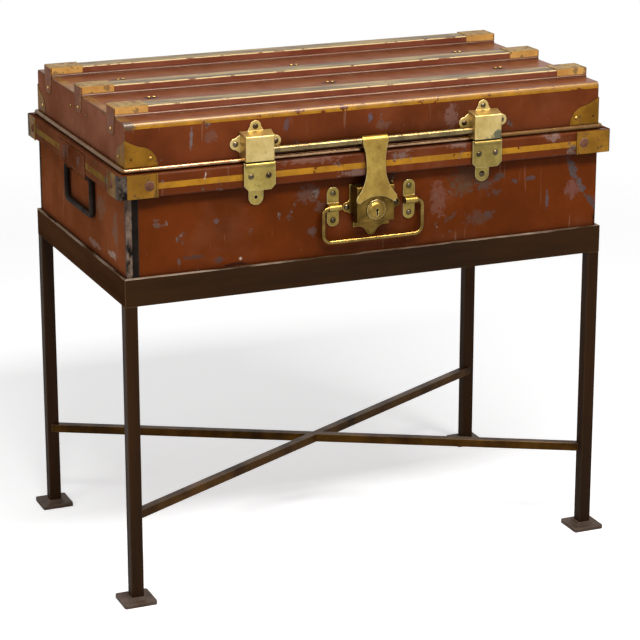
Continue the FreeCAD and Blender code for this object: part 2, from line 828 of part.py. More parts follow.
def make_key_pin():
    """The post that a barrel key turns on."""
    pin = new_body("key_pin", Placement(point(0, front_face - s.lock_plate_sheet, mouth_level - s.lock_drop),
                                        FACING["front"]))
    pad(pin, new_sketch(pin, "XY_Plane", circles=[(0, 0, s.key_pin_radius)]), s.lock_depth)


def make_lock_bolt():
    """A bar that slides to the right, through the staple's eye, when the key turns."""
    bolt = new_body("lock_bolt", Placement(point(bolt_left, front_face - s.bolt_stand,
                                                 mouth_level - s.lock_drop + s.bolt_rise), Rotation()))
    half = s.bolt_height / 2
    bar = [(0, -half), (s.bolt_length, -half), (s.bolt_length, half), (0, half)]
    pad(bolt, new_sketch(bolt, "XZ_Plane", bar), s.bolt_thick)
    talon = [(s.keyhole_slot, -half - s.overrun), (s.keyhole_slot * 2, -half - s.overrun),
             (s.keyhole_slot * 2, -half + s.keyhole_slot / 2), (s.keyhole_slot, -half + s.keyhole_slot / 2)]
    cut(bolt, new_sketch(bolt, "XZ_Plane", talon))


def make_wire(label, place, half, drop, shoulder, corner, start, wire):
    """A bail of round wire: two pins that point inwards, two legs and a bar."""
    bail = new_body(label, place)
    path = [(start, 0), (half - shoulder, 0, -shoulder), (half, -shoulder), (half, corner - drop, -corner),
            (half - corner, -drop), (corner - half, -drop, -corner), (-half, corner - drop),
            (-half, -shoulder, -shoulder), (shoulder - half, 0), (-start, 0)]
    route = new_sketch(bail, "XZ_Plane", path, closed=False)
    section = new_sketch(bail, "YZ_Plane", circles=[(0, 0, wire)], raised=start)
    pipe(bail, route, section)


def make_bail():
    place = Placement(point(0, front_face - s.bail_stand, mouth_level - s.bail_height), Rotation())
    make_wire("front_bail", place, s.bail_half, s.bail_drop, s.bail_shoulder, s.bail_corner,
              s.saddle_place - s.saddle_width / 2, s.bail_wire)


grip_tube_radius = s.grip_wire + s.pin_gap + s.grip_plate_sheet
grip_stand = grip_tube_radius + s.pin_gap
grip_fall = s.band_height + s.grip_plate_sheet + grip_tube_radius - s.grip_plate_sheet / 2
grip_start = s.grip_half - s.grip_corner - s.grip_pin


def make_side_grip(name, side):
    """A plate formed over the end band; tubes below it hold the pins of an iron bail."""
    facing = Rotation(Vector(0, 0, 1), 90 * side)
    plate = new_body(f"{name}_handle_plate", Placement(point(end_face * side, -s.grip_forward, mouth_level),
                                                       facing))
    face = s.band_stand + s.grip_plate_sheet
    low = -s.band_height
    section = [(-s.band_stand, -s.band_round), (-face, -s.band_round), (-face, low - s.grip_plate_sheet),
               (0, low - s.grip_plate_sheet), (0, low), (-s.band_stand, low)]
    pad(plate, new_sketch(plate, "YZ_Plane", section), s.grip_plate_half * 2, both=True)
    for way in (-1, 1):
        near = grip_start if way > 0 else -grip_start - s.grip_tube
        tube = (-grip_stand, -grip_fall, grip_tube_radius)
        pad(plate, new_sketch(plate, "YZ_Plane", circles=[tube], raised=near), s.grip_tube)
    bore = (-grip_stand, -grip_fall, s.grip_wire + s.pin_gap)
    cut(plate, new_sketch(plate, "YZ_Plane", circles=[bore]))
    pivot = point((end_face + grip_stand) * side, -s.grip_forward, mouth_level - grip_fall)
    place = Placement(pivot, facing)
    make_wire(f"{name}_side_handle", place, s.grip_half, s.grip_drop, s.grip_corner, s.grip_corner,
              grip_start, s.grip_wire)


hinge_axis = s.trunk_depth / 2 + s.band_stand + s.hinge_barrel
hinge_bore = s.hinge_pin_radius + s.pin_gap


def make_hinge_leaves():
    """Pattern pieces of the rear hinges: body leaf, cranked lid leaf and pin."""
    place = Placement(point(s.hinge_place, hinge_axis, mouth_level), Rotation())
    wall = -s.hinge_barrel
    near = wall + s.hinge_sheet
    half = s.hinge_width / 2
    gap = s.hinge_middle / 2 + s.swing_gap
    body_leaf = new_body("hinge_body_leaf", place, keep=False)
    plate = [(wall, -s.hinge_leaf), (near, -s.hinge_leaf), (near, 0), (wall, 0)]
    pad(body_leaf, new_sketch(body_leaf, "YZ_Plane", plate), s.hinge_width, both=True)
    barrel = [(0, 0, s.hinge_barrel)]
    pad(body_leaf, new_sketch(body_leaf, "YZ_Plane", circles=barrel), s.hinge_width, both=True)
    clear = -s.hinge_barrel - s.swing_gap
    window = rectangle(gap, clear, s.hinge_barrel + s.overrun)
    cut(body_leaf, new_sketch(body_leaf, "XZ_Plane", window))
    cut(body_leaf, new_sketch(body_leaf, "YZ_Plane", circles=[(0, 0, hinge_bore)]))

    lid_leaf = new_body("hinge_lid_leaf", place, keep=False)
    step = s.hinge_step
    under = step - s.hinge_sheet
    back_wall = wall - s.band_stand
    skin = back_wall + s.hinge_sheet
    crank = [(near, 0), (near, step), (skin, step), (skin, step + s.hinge_lid_leaf),
             (back_wall, step + s.hinge_lid_leaf), (back_wall, under), (wall, under), (wall, 0)]
    pad(lid_leaf, new_sketch(lid_leaf, "YZ_Plane", crank), s.hinge_middle, both=True)
    pad(lid_leaf, new_sketch(lid_leaf, "YZ_Plane", circles=barrel), s.hinge_middle, both=True)
    cut(lid_leaf, new_sketch(lid_leaf, "YZ_Plane", circles=[(0, 0, hinge_bore)]))

    pin = new_body("hinge_pin", place, keep=False)
    pad(pin, new_sketch(pin, "YZ_Plane", circles=[(0, 0, s.hinge_pin_radius)]), half * 2, both=True)
    return body_leaf, lid_leaf, pin


# Lid

BATTENS = {"front": -1, "middle": 0, "rear": 1}
batten_pitch = s.trunk_depth * BATTEN_PITCH_SHARE


def make_lid_shell():
    """One sheet bent into front, top and back, with a pressed rib under each batten."""
    half = s.trunk_depth / 2
    bend = s.lid_round
    high = s.lid_height
    inner = half - s.sheet
    under = high - s.sheet
    crest = s.rib_rise
    lid = new_body("lid_wrapper", Placement(point(0, 0, lid_level), Rotation()))
    base = s.rib_base / 2
    top = s.rib_top / 2
    shoulder = s.rib_round
    outside = [(-half, 0), (-half, high - bend, -bend), (bend - half, high)]
    inside = [(inner, 0), (inner, high - bend, bend - s.sheet), (half - bend, under)]
    for place in BATTENS.values():
        middle = batten_pitch * place
        outside += [(middle - base, high, -shoulder), (middle - top, high + crest),
                    (middle + top, high + crest, -shoulder), (middle + base, high)]
    base = base - s.sheet
    top = top - s.sheet
    shoulder = shoulder - s.sheet
    for place in reversed(BATTENS.values()):
        middle = batten_pitch * place
        inside += [(middle + base, under, shoulder), (middle + top, under + crest),
                   (middle - top, under + crest, shoulder), (middle - base, under)]
    outside += [(half - bend, high, -bend), (half, high - bend), (half, 0)]
    inside += [(bend - half, under, bend - s.sheet), (-inner, high - bend), (-inner, 0)]
    pad(lid, new_sketch(lid, "YZ_Plane", outside + inside), lid_half * 2, both=True)
    lip = inner - s.sheet
    for label, side, angle in (("lid_left_end", -1, 0), ("lid_right_end", 1, 180)):
        end = new_body(label, Placement(point(lid_half * side, 0, lid_level),
                                        Rotation(Vector(0, 0, 1), angle)))
        outline = [(-inner, 0), (-inner, under - bend, -bend), (bend - inner, under),
                   (inner - bend, under, -bend), (inner, under - bend), (inner, 0)]
        pad(end, new_sketch(end, "YZ_Plane", outline), s.end_flange)
        roof = under - s.sheet
        tight = bend - s.sheet
        hollow = [(-lip, -s.overrun), (-lip, under - bend, -tight), (tight - lip, roof),
                  (lip - tight, roof, -tight), (lip, under - bend), (lip, -s.overrun)]
        cut(end, new_sketch(end, "YZ_Plane", hollow, raised=s.sheet), s.end_flange, back=True)


def make_lid_bead():
    """The rolled wire edge round the foot of the lid."""
    bead = new_body("lid_edge_bead", Placement(point(0, 0, lid_level + s.bead_radius), Rotation()))
    long = lid_half + s.bead_radius
    deep = s.trunk_depth / 2 + s.bead_radius
    bend = s.bead_radius + s.swing_gap
    path = [(0, -deep), (long - bend, -deep, bend), (long, bend - deep), (long, deep - bend, bend),
            (long - bend, deep), (bend - long, deep, bend), (-long, deep - bend), (-long, bend - deep, bend),
            (bend - long, -deep)]
    route = new_sketch(bead, "XY_Plane", path)
    pipe(bead, route, new_sketch(bead, "YZ_Plane", circles=[(-deep, 0, s.bead_radius)]))


batten_foot = lid_top + s.rib_rise


def make_battens():
    for name, place in BATTENS.items():
        batten = new_body(f"{name}_batten", Placement(point(0, batten_pitch * place, batten_foot),
                                                      Rotation()))
        half = s.batten_width / 2
        bend = s.batten_round
        high = s.batten_height
        section = [(-half, 0), (half, 0), (half, high - bend, bend), (half - bend, high),
                   (bend - half, high, bend), (-half, high - bend)]
        pad(batten, new_sketch(batten, "YZ_Plane", section), lid_half * 2, both=True)


tongue_rivet_drop = s.tongue_drop - s.tongue_tip


def make_batten_cap():
    """A sheet cap over a batten's left end, with a tongue riveted down the end of the lid."""
    cap = new_body("batten_cap", Placement(point(-lid_half, 0, lid_top), Rotation()), keep=False)
    inner = s.batten_width / 2
    outer = inner + s.cap_sheet
    foot = s.rib_rise
    crown = s.rib_rise + s.batten_height
    top = crown + s.cap_sheet
    hood = [(-outer, foot), (-inner, foot), (-inner, crown), (inner, crown), (inner, foot), (outer, foot),
            (outer, top), (-outer, top)]
    pad(cap, new_sketch(cap, "YZ_Plane", hood), s.cap_length)
    half = s.tongue_width / 2
    end = s.tongue_foot / 2
    tip = s.tongue_tip
    drop = -s.tongue_drop
    face = [(-outer, top), (-outer, foot), (-half, 0), (-end, drop + tip, tip), (tip - end, drop),
            (end - tip, drop, tip), (end, drop + tip), (half, 0), (outer, foot), (outer, top)]
    hole = (0, -tongue_rivet_drop, s.stud_shank + s.pin_gap)
    pad(cap, new_sketch(cap, "YZ_Plane", face, circles=[hole]), s.cap_sheet, back=True)
    nose = s.cap_round - s.cap_sheet
    beyond = -s.cap_sheet - s.overrun
    corner = [(-s.cap_sheet, top - s.cap_round, -s.cap_round), (nose, top), (nose, top + s.overrun),
              (beyond, top + s.overrun), (beyond, top - s.cap_round)]
    cut(cap, new_sketch(cap, "XZ_Plane", corner))
    return cap


def ogee(leg):
    """The outline of one leg of a lid corner plate: a dipping, then swelling top edge."""
    low = s.bead_radius * 2
    knee = leg * OGEE_LEG_SHARE
    shelf = s.corner_rise * OGEE_RISE_SHARE
    swell = leg * OGEE_SWELL_SHARE
    dip = leg * OGEE_DIP_SHARE
    return [(0, low), (leg, low, swell), (knee, shelf, -dip), (0, s.corner_rise)]


def make_lid_corner():
    """A sheet plate bent round a lower corner of the lid."""
    plate = new_body("lid_corner_plate", Placement(point(-lid_half, front_face, lid_level), Rotation()),
                     keep=False)
    hole = s.stud_shank + s.pin_gap
    front = (s.corner_front - s.corner_stud_inset, s.corner_stud_rise, hole)
    empty = (s.corner_hole, s.corner_stud_rise, s.corner_hole_radius)
    pad(plate, new_sketch(plate, "XZ_Plane", ogee(s.corner_front), circles=[front, empty]), s.corner_sheet)
    end = (s.corner_end - s.corner_stud_inset, s.corner_stud_rise, hole)
    pad(plate, new_sketch(plate, "YZ_Plane", ogee(s.corner_end), circles=[end]), s.corner_sheet,
        back=True)
    corner = [(-s.corner_sheet, -s.corner_sheet), (0, -s.corner_sheet), (0, 0), (-s.corner_sheet, 0)]
    low = s.bead_radius * 2
    pad(plate, new_sketch(plate, "XY_Plane", corner, raised=low), s.corner_rise - low)
    return plate


def make_hood(label, side):
    """A pressed brass hood with three riveted lugs; it carries one end of the rod."""
    hood = new_body(label, Placement(point(s.catch_place * side, front_face, mouth_level), Rotation()))
    wall = s.brass_sheet
    back = s.hood_back / 2
    front = s.hood_front / 2
    brow = s.hood_top - s.hood_brow
    loft(hood, "Additive", new_sketch(hood, "XZ_Plane", rectangle(back, s.hood_foot, s.hood_top)),
         new_sketch(hood, "XZ_Plane", rectangle(front, s.hood_foot, brow), raised=s.hood_depth))
    round_edges(hood, s.press_round, lambda start, end: at_front(start, end, s.hood_depth)
                and max(start.z, end.z) > s.hood_foot.number + s.press_round.number)
    open_foot = s.hood_foot - s.overrun
    room_back = rectangle(back - wall, open_foot, s.hood_top - wall)
    room_front = rectangle(front - wall, open_foot, brow - wall)
    loft(hood, "Subtractive", new_sketch(hood, "XZ_Plane", room_back),
         new_sketch(hood, "XZ_Plane", room_front, raised=s.hood_depth - wall))
    web = s.lug_web
    lug = s.lug_radius
    hole = s.rivet_shank + s.pin_gap
    lugs = [(0, s.top_lug_rise)]
    webs = [[(-web, s.hood_top - wall), (web, s.hood_top - wall), (lug, s.top_lug_rise),
             (-lug, s.top_lug_rise)]]
    for way in (-1, 1):
        webs.append([((back - wall) * way, s.lug_rise - web), (back * way, s.lug_rise - web),
                     (s.lug_reach * way, s.lug_rise - lug), (s.lug_reach * way, s.lug_rise + lug),
                     (back * way, s.lug_rise + web), ((back - wall) * way, s.lug_rise + web)])
        lugs.append((s.lug_reach * way, s.lug_rise))
    for web_outline, (x, z) in zip(webs, lugs):
        pad(hood, new_sketch(hood, "XZ_Plane", web_outline), wall)
        pad(hood, new_sketch(hood, "XZ_Plane", circles=[(x, z, lug)]), wall)
        cut(hood, new_sketch(hood, "XZ_Plane", circles=[(x, z, hole)]))
    bearing = (-s.rod_stand, s.rod_rise, s.rod_radius + s.pin_gap)
    cut(hood, new_sketch(hood, "YZ_Plane", circles=[bearing]), s.hood_back, back=side < 0)
    bead_room = s.bead_radius * 2 + s.swing_gap * 2
    notch = [(s.overrun, 0), (s.overrun, bead_room), (-bead_room, bead_room), (-bead_room, 0)]
    cut(hood, new_sketch(hood, "YZ_Plane", notch))


# Turning rod with the hasp and hooks

rod_place = point(0, front_face - s.rod_stand, mouth_level + s.rod_rise)
hasp_drop = s.rod_rise + s.lock_drop - s.lock_up
hasp_lean = (s.lock_depth + s.swing_gap - s.rod_stand - s.rod_radius) / hasp_drop
hasp_angle = math.degrees(math.atan(hasp_lean.number))
rod_half = s.catch_place + s.hook_width / 2


def make_rod():
    rod = doc.addObject("Part::Cylinder", "turning_rod")
    rod.Label = "turning_rod"
    bind(rod, "Radius", s.rod_radius)
    bind(rod, "Height", rod_half * 2)
    rod.Placement = Placement(rod_place - point(rod_half, 0, 0), FACING["right"])
    nodes.append(rod)


def make_hook(label, side):
    """A short cam on the rod inside a hood."""
    hook = new_body(label, Placement(rod_place + point(s.catch_place * side, 0, 0), Rotation()))
    ring = s.rod_radius + s.hook_wall
    half = s.hook_sheet / 2
    pad(hook, new_sketch(hook, "YZ_Plane", circles=[(0, 0, ring)]), s.hook_width, both=True)
    reach = s.hook_reach
    tongue = [(-half, 0), (-half, half - reach, half), (0, -reach, half), (half, half - reach), (half, 0)]
    pad(hook, new_sketch(hook, "YZ_Plane", tongue), s.hook_width, both=True)
    cut(hook, new_sketch(hook, "YZ_Plane", circles=[(0, 0, s.rod_radius)]))


def make_hasp():
    """The flared plate that hangs from the rod, rolled round it at the top."""
    hasp = new_body("hasp_plate", Placement(rod_place, Rotation(Vector(1, 0, 0), -hasp_angle)))
    top = s.hasp_top / 2
    neck = s.hasp_neck / 2
    ear = s.hasp_ears / 2
    tip = s.hasp_tip_half
    arch = (tip * tip + s.hasp_arch * s.hasp_arch) / (s.hasp_arch * 2)
    shoulder = -s.hasp_shoulder_drop
    waist = -s.hasp_neck_drop
    cheek = -s.hasp_ear_drop
    foot = -s.hasp_tip_drop
    side = s.hasp_side_radius
    flare = s.hasp_flare_radius
    round_ear = s.hasp_ear_radius
    outline = [(-top, 0), (top, 0), (top, shoulder, side), (neck, waist, flare), (ear, cheek, -round_ear),
               (tip, foot, arch), (-tip, foot, -round_ear), (-ear, cheek, flare), (-neck, waist, side),
               (-top, shoulder)]
    pad(hasp, new_sketch(hasp, "XZ_Plane", outline, raised=s.rod_radius), s.hasp_sheet)
    knuckle = s.rod_radius + s.hasp_sheet
    pad(hasp, new_sketch(hasp, "YZ_Plane", circles=[(0, 0, knuckle)]), s.hasp_top, both=True)
    cut(hasp, new_sketch(hasp, "YZ_Plane", circles=[(0, 0, s.rod_radius)]))


def make_staple():
    """The eye on the back of the hasp that the bolt passes through."""
    staple = new_body("hasp_staple", Placement(rod_place, Rotation()))
    level = s.bolt_rise - s.lock_drop - s.rod_rise
    open_half = s.bolt_height / 2 + s.eye_gap
    outer_half = open_half + s.staple_wall
    skin = s.rod_radius * root(hasp_lean * hasp_lean + 1)
    high = level + outer_half
    low = level - outer_half
    far = s.rod_stand - s.bolt_stand + s.eye_gap
    near = far - s.bolt_thick - s.eye_gap * 2
    outline = [(high * hasp_lean - skin, high), (low * hasp_lean - skin, low),
               (far + s.staple_wall, low), (far + s.staple_wall, high)]
    eye = [(near, level - open_half), (far, level - open_half), (far, level + open_half),
           (near, level + open_half)]
    pad(staple, new_sketch(staple, "YZ_Plane", outline, eye), s.staple_thick, both=True)


def on_front(x, z, stand=0):
    return Placement(point(x, front_face - stand, z), FACING["front"])


def make_body_rivets(rivet_thin, rivet_thick):
    """Rivets of the strikers, the lock plate and the saddles."""
    places = []
    rivets = []
    lock_level = mouth_level - s.lock_drop
    bail_level = mouth_level - s.bail_height
    for side in (-1, 1):
        for way in (-1, 1):
            x = s.catch_place * side + s.striker_rivet_pitch / 2 * way
            rivets.append(placed(rivet_thick, on_front(x, mouth_level - s.striker_rivet_drop,
                                                       s.band_stand + s.striker_sheet)))
            level = bail_level + s.saddle_rivet_pitch / 2 * way
            places.append(on_front(s.saddle_place * side, level, s.saddle_sheet))
        places.append(on_front(s.lock_lug_reach * side, lock_level + s.lock_lug_rise, s.lock_plate_sheet))
    places.append(on_front(s.catch_place, mouth_level - s.tab_drop + s.tab_width / 2, s.brass_sheet))
    rivets += [placed(rivet_thin, place) for place in places]
    group("body_rivets", rivets)


def make_hood_rivets(rivet):
    places = []
    for side in (-1, 1):
        middle = s.catch_place * side
        places.append(on_front(middle, mouth_level + s.top_lug_rise, s.brass_sheet))
        for way in (-1, 1):
            places.append(on_front(middle + s.lug_reach * way, mouth_level + s.lug_rise, s.brass_sheet))
    group("hood_rivets", [placed(rivet, place) for place in places])


def make_lid_studs(stud, tack):
    """Small studs: pairs on the top, one on each cap tongue, two on each corner plate, tacks on the ends."""
    studs = []
    for row in (-s.lid_stud_front, s.lid_stud_rear):
        for station in (-1, 0, 1):
            for way in (-1, 1):
                x = s.lid_stud_reach * station + s.lid_stud_pair / 2 * way
                place = point(x, row, lid_top + s.cap_sheet)
                studs.append(placed(stud, Placement(place, Rotation())))
    for name, side in (("left", -1), ("right", 1)):
        for row in BATTENS.values():
            place = point((lid_half + s.cap_sheet) * side, batten_pitch * row, lid_top - tongue_rivet_drop)
            studs.append(placed(stud, Placement(place, FACING[name])))
        for way in (-1, 1):
            place = point((lid_half + s.swing_gap) * side, s.end_tack_reach * way, lid_top - s.end_tack_drop)
            studs.append(placed(tack, Placement(place, FACING[name])))
    level = lid_level + s.corner_stud_rise
    front = point(s.corner_front - s.corner_stud_inset - lid_half, front_face - s.cap_sheet, level)
    studs += four_corners(placed(stud, Placement(front, FACING["front"])))
    end = point(-lid_half - s.cap_sheet, front_face + s.corner_end - s.corner_stud_inset, level)
    studs += four_corners(placed(stud, Placement(end, FACING["left"])))
    group("lid_studs", studs)


def make_band_nails(nail):
    level = mouth_level - s.band_height / 2
    stand = s.band_stand + s.strap_sheet
    front = point(strap_nail_front - end_face, front_face - stand, level)
    end = point(-end_face - stand, front_face + strap_nail_end, level)
    group("band_nails", four_corners(placed(nail, Placement(front, FACING["front"])))
          + four_corners(placed(nail, Placement(end, FACING["left"]))))


def build():
    make_tray()
    make_legs()
    foot = make_feet()
    make_stretchers()
    make_body_shell()
    iron = make_corner_irons()
    make_bands()
    strap = make_corner_strap()
    for name, side in (("left", -1), ("right", 1)):
        make_striker(f"{name}_striker", side)
        make_saddle(f"{name}_bail_saddle", side)
        make_side_grip(name, side)
        make_hood(f"{name}_catch_hood", side)
        make_hook(f"{name}_hook", side)
    make_lock_plate()
    make_lock_case()
    make_boss()
    make_key_pin()
    make_lock_bolt()
    make_bail()
    body_leaf, lid_leaf, hinge_pin = make_hinge_leaves()
    make_lid_shell()
    make_lid_bead()
    make_battens()
    cap = make_batten_cap()
    corner = make_lid_corner()
    make_rod()
    make_hasp()
    make_staple()
    nail = make_fastener("nail", s.nail_radius, s.nail_rise, s.nail_shank, s.strap_sheet)
    rivet_thin = make_fastener("rivet", s.rivet_radius, s.rivet_rise, s.rivet_shank, s.brass_sheet)
    rivet_thick = make_fastener("striker_rivet", s.rivet_radius, s.rivet_rise, s.rivet_shank, s.striker_sheet)
    stud = make_fastener("stud", s.stud_radius, s.stud_rise, s.stud_shank, s.cap_sheet)
    tack = make_fastener("tack", s.tack_radius, s.stud_rise, s.stud_shank, s.swing_gap)
    doc.recompute()

    group("foot_plates", [placed(foot, Placement(point(leg_x * right, leg_y * back, 0), Rotation()))
                          for right, back in LEG_CORNERS.values()])
    group("corner_irons", [iron.Shape, iron.Shape.mirror(Vector(), Vector(0, 1, 0))])
    group("band_corner_straps", four_corners(strap.Shape))
    make_band_nails(nail)
    make_body_rivets(rivet_thin, rivet_thick)
    make_hood_rivets(rivet_thin)
    make_lid_studs(stud, tack)
    across = Vector(1, 0, 0)
    hinges = {"hinge_body_leaves": body_leaf, "hinge_lid_leaves": lid_leaf, "hinge_pins": hinge_pin}
    for label, leaf in hinges.items():
        group(label, [leaf.Shape, leaf.Shape.mirror(Vector(), across)])
    left_caps = [placed(cap, Placement(point(0, batten_pitch * row, 0), Rotation()))
                 for row in BATTENS.values()]
    group("left_batten_caps", left_caps)
    group("right_batten_caps", [shape.mirror(Vector(), across) for shape in left_caps])
    group("lid_corner_plates", four_corners(corner.Shape))
    doc.recompute()


def check_and_write():
    for thing in doc.Objects:
        if "Invalid" in thing.State or "Error" in thing.State:
            raise RuntimeError(f"{thing.Label} failed: {thing.State}")
    for node in nodes + masters:
        if node.Shape.isNull() or not node.Shape.isValid() or not node.Shape.Solids:
            raise RuntimeError(f"{node.Label} has no valid solid")
    os.makedirs("parts", exist_ok=True)
    for node in nodes:
        node.Shape.exportStep(f"parts/{node.Label}.step")
        print(node.Label, len(node.Shape.Solids), round(node.Shape.Volume / 1000, 2))


build()
check_and_write()
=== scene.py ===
"""Finishes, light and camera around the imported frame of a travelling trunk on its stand."""

import math

import bmesh
import bpy
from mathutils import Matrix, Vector

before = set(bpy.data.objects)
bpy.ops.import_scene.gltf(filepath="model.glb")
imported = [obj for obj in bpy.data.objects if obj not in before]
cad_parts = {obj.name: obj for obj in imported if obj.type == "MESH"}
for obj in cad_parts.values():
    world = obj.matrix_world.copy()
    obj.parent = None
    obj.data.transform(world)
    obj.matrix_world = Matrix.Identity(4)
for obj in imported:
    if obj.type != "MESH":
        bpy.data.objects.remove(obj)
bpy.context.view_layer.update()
MM = 0.001

# A colour Mix node's sockets go by number, because their names repeat for every data type.
MASK = 0
UNDER = 6
OVER = 7
COLOUR_MIX = {"data_type": "RGBA", "out": 2}

# How a pattern is scaled: a small scale along an axis draws it out that way.
EVEN = (1, 1, 1)
ALONG_X = (0.12, 1, 1)
ALONG_Y = (1, 0.12, 1)
ALONG_Z = (1, 1, 0.12)


def linear(code):
    """An sRGB hex colour as linear RGBA."""
    colour = []
    for start in (1, 3, 5):
        share = int(code[start:start + 2], 16) / 255
        colour.append(share / 12.92 if share <= 0.04045 else ((share + 0.055) / 1.055) ** 2.4)
    return (*colour, 1)


def add(tree, kind, inputs=None, out=0, **settings):
    """Add a node with its settings, set or link its inputs, and return one output."""
    node = tree.nodes.new(f"ShaderNode{kind}")
    for name, value in settings.items():
        setattr(node, name, value)
    for name, value in (inputs or {}).items():
        if isinstance(value, bpy.types.NodeSocket):
            tree.links.new(value, node.inputs[name])
        else:
            node.inputs[name].default_value = value
    return node.outputs[out] if node.outputs else node


def per_metre(millimetres):
    """The scale of a pattern whose features are this size."""
    return 1 / (millimetres * MM)


def new_material(name):
    """A node material with nothing in it yet, and its tree."""
    material = bpy.data.materials.new(name)
    material.use_nodes = True
    material.node_tree.nodes.clear()
    return material, material.node_tree


def patches(tree, place, size, low, high, detail=4, stretch=None):
    """A mask of irregular patches of this size; low and high set how much they cover."""
    if stretch:
        place = add(tree, "Mapping", {"Vector": place, "Scale": stretch})
    cloud = add(tree, "TexNoise", {"Vector": place, "Scale": per_metre(size), "Detail": detail,
                                   "Roughness": 0.62})
    return add(tree, "MapRange", {"Value": cloud, "From Min": low, "From Max": high},
               interpolation_type="SMOOTHSTEP")


def inside(tree, place, boxes):
    """A mask of areas, each a box of low and high limits in millimetres; None leaves an axis free."""
    axes = add(tree, "SeparateXYZ", {"Vector": place}).node.outputs
    total = None
    for box in boxes:
        mask = None
        for axis, span in enumerate(box):
            if span is None:
                continue
            low, high = span
            near = add(tree, "Math", {0: axes[axis], 1: (low + high) / 2 * MM, 2: (high - low) / 2 * MM},
                       operation="COMPARE")
            mask = near if mask is None else add(tree, "Math", {0: mask, 1: near}, operation="MULTIPLY")
        total = mask if total is None else add(tree, "Math", {0: total, 1: mask}, operation="MAXIMUM")
    return total


def worn_edges(tree, place, radius, low, high, size, rays=4):
    """A mask of the sharp edges that rub first, and that some materials tint as a painted highlight, broken
    up by patches, and the rounded normal.
    """
    soft = add(tree, "Bevel", {"Radius": radius * MM}, samples=rays)
    flat = add(tree, "NewGeometry", out="Normal")
    agree = add(tree, "VectorMath", {0: soft, 1: flat}, out="Value", operation="DOT_PRODUCT")
    edge = add(tree, "MapRange", {"Value": agree, "From Min": 0.995, "From Max": 0.86})
    broken = patches(tree, place, size, low, high)
    return add(tree, "Math", {0: edge, 1: broken}, operation="MULTIPLY"), soft


def scuffed(tree, place, colour, scuffs):
    """The colour with ragged marks on it; each has a middle, turn, half sizes, tone and cover."""
    ragged = add(tree, "TexNoise", {"Vector": place, "Scale": per_metre(9), "Detail": 6, "Roughness": 0.7})
    ragged = add(tree, "MapRange", {"Value": ragged, "From Min": 0.3, "From Max": 0.7, "To Min": -0.75,
                                    "To Max": 0.75})
    for spot, turn, reach, tone, cover in scuffs:
        centred = add(tree, "Mapping", {"Vector": place, "Location": [value * MM for value in spot],
                                        "Rotation": (0, math.radians(turn), 0),
                                        "Scale": [value * MM for value in reach]}, vector_type="TEXTURE")
        distance = add(tree, "VectorMath", {0: centred}, out="Value", operation="LENGTH")
        distance = add(tree, "Math", {0: distance, 1: ragged}, operation="ADD")
        mark = add(tree, "MapRange", {"Value": distance, "From Min": 1.0, "From Max": 0.6, "To Max": cover})
        colour = add(tree, "Mix", {MASK: mark, UNDER: colour, OVER: linear(tone)}, **COLOUR_MIX)
    return colour
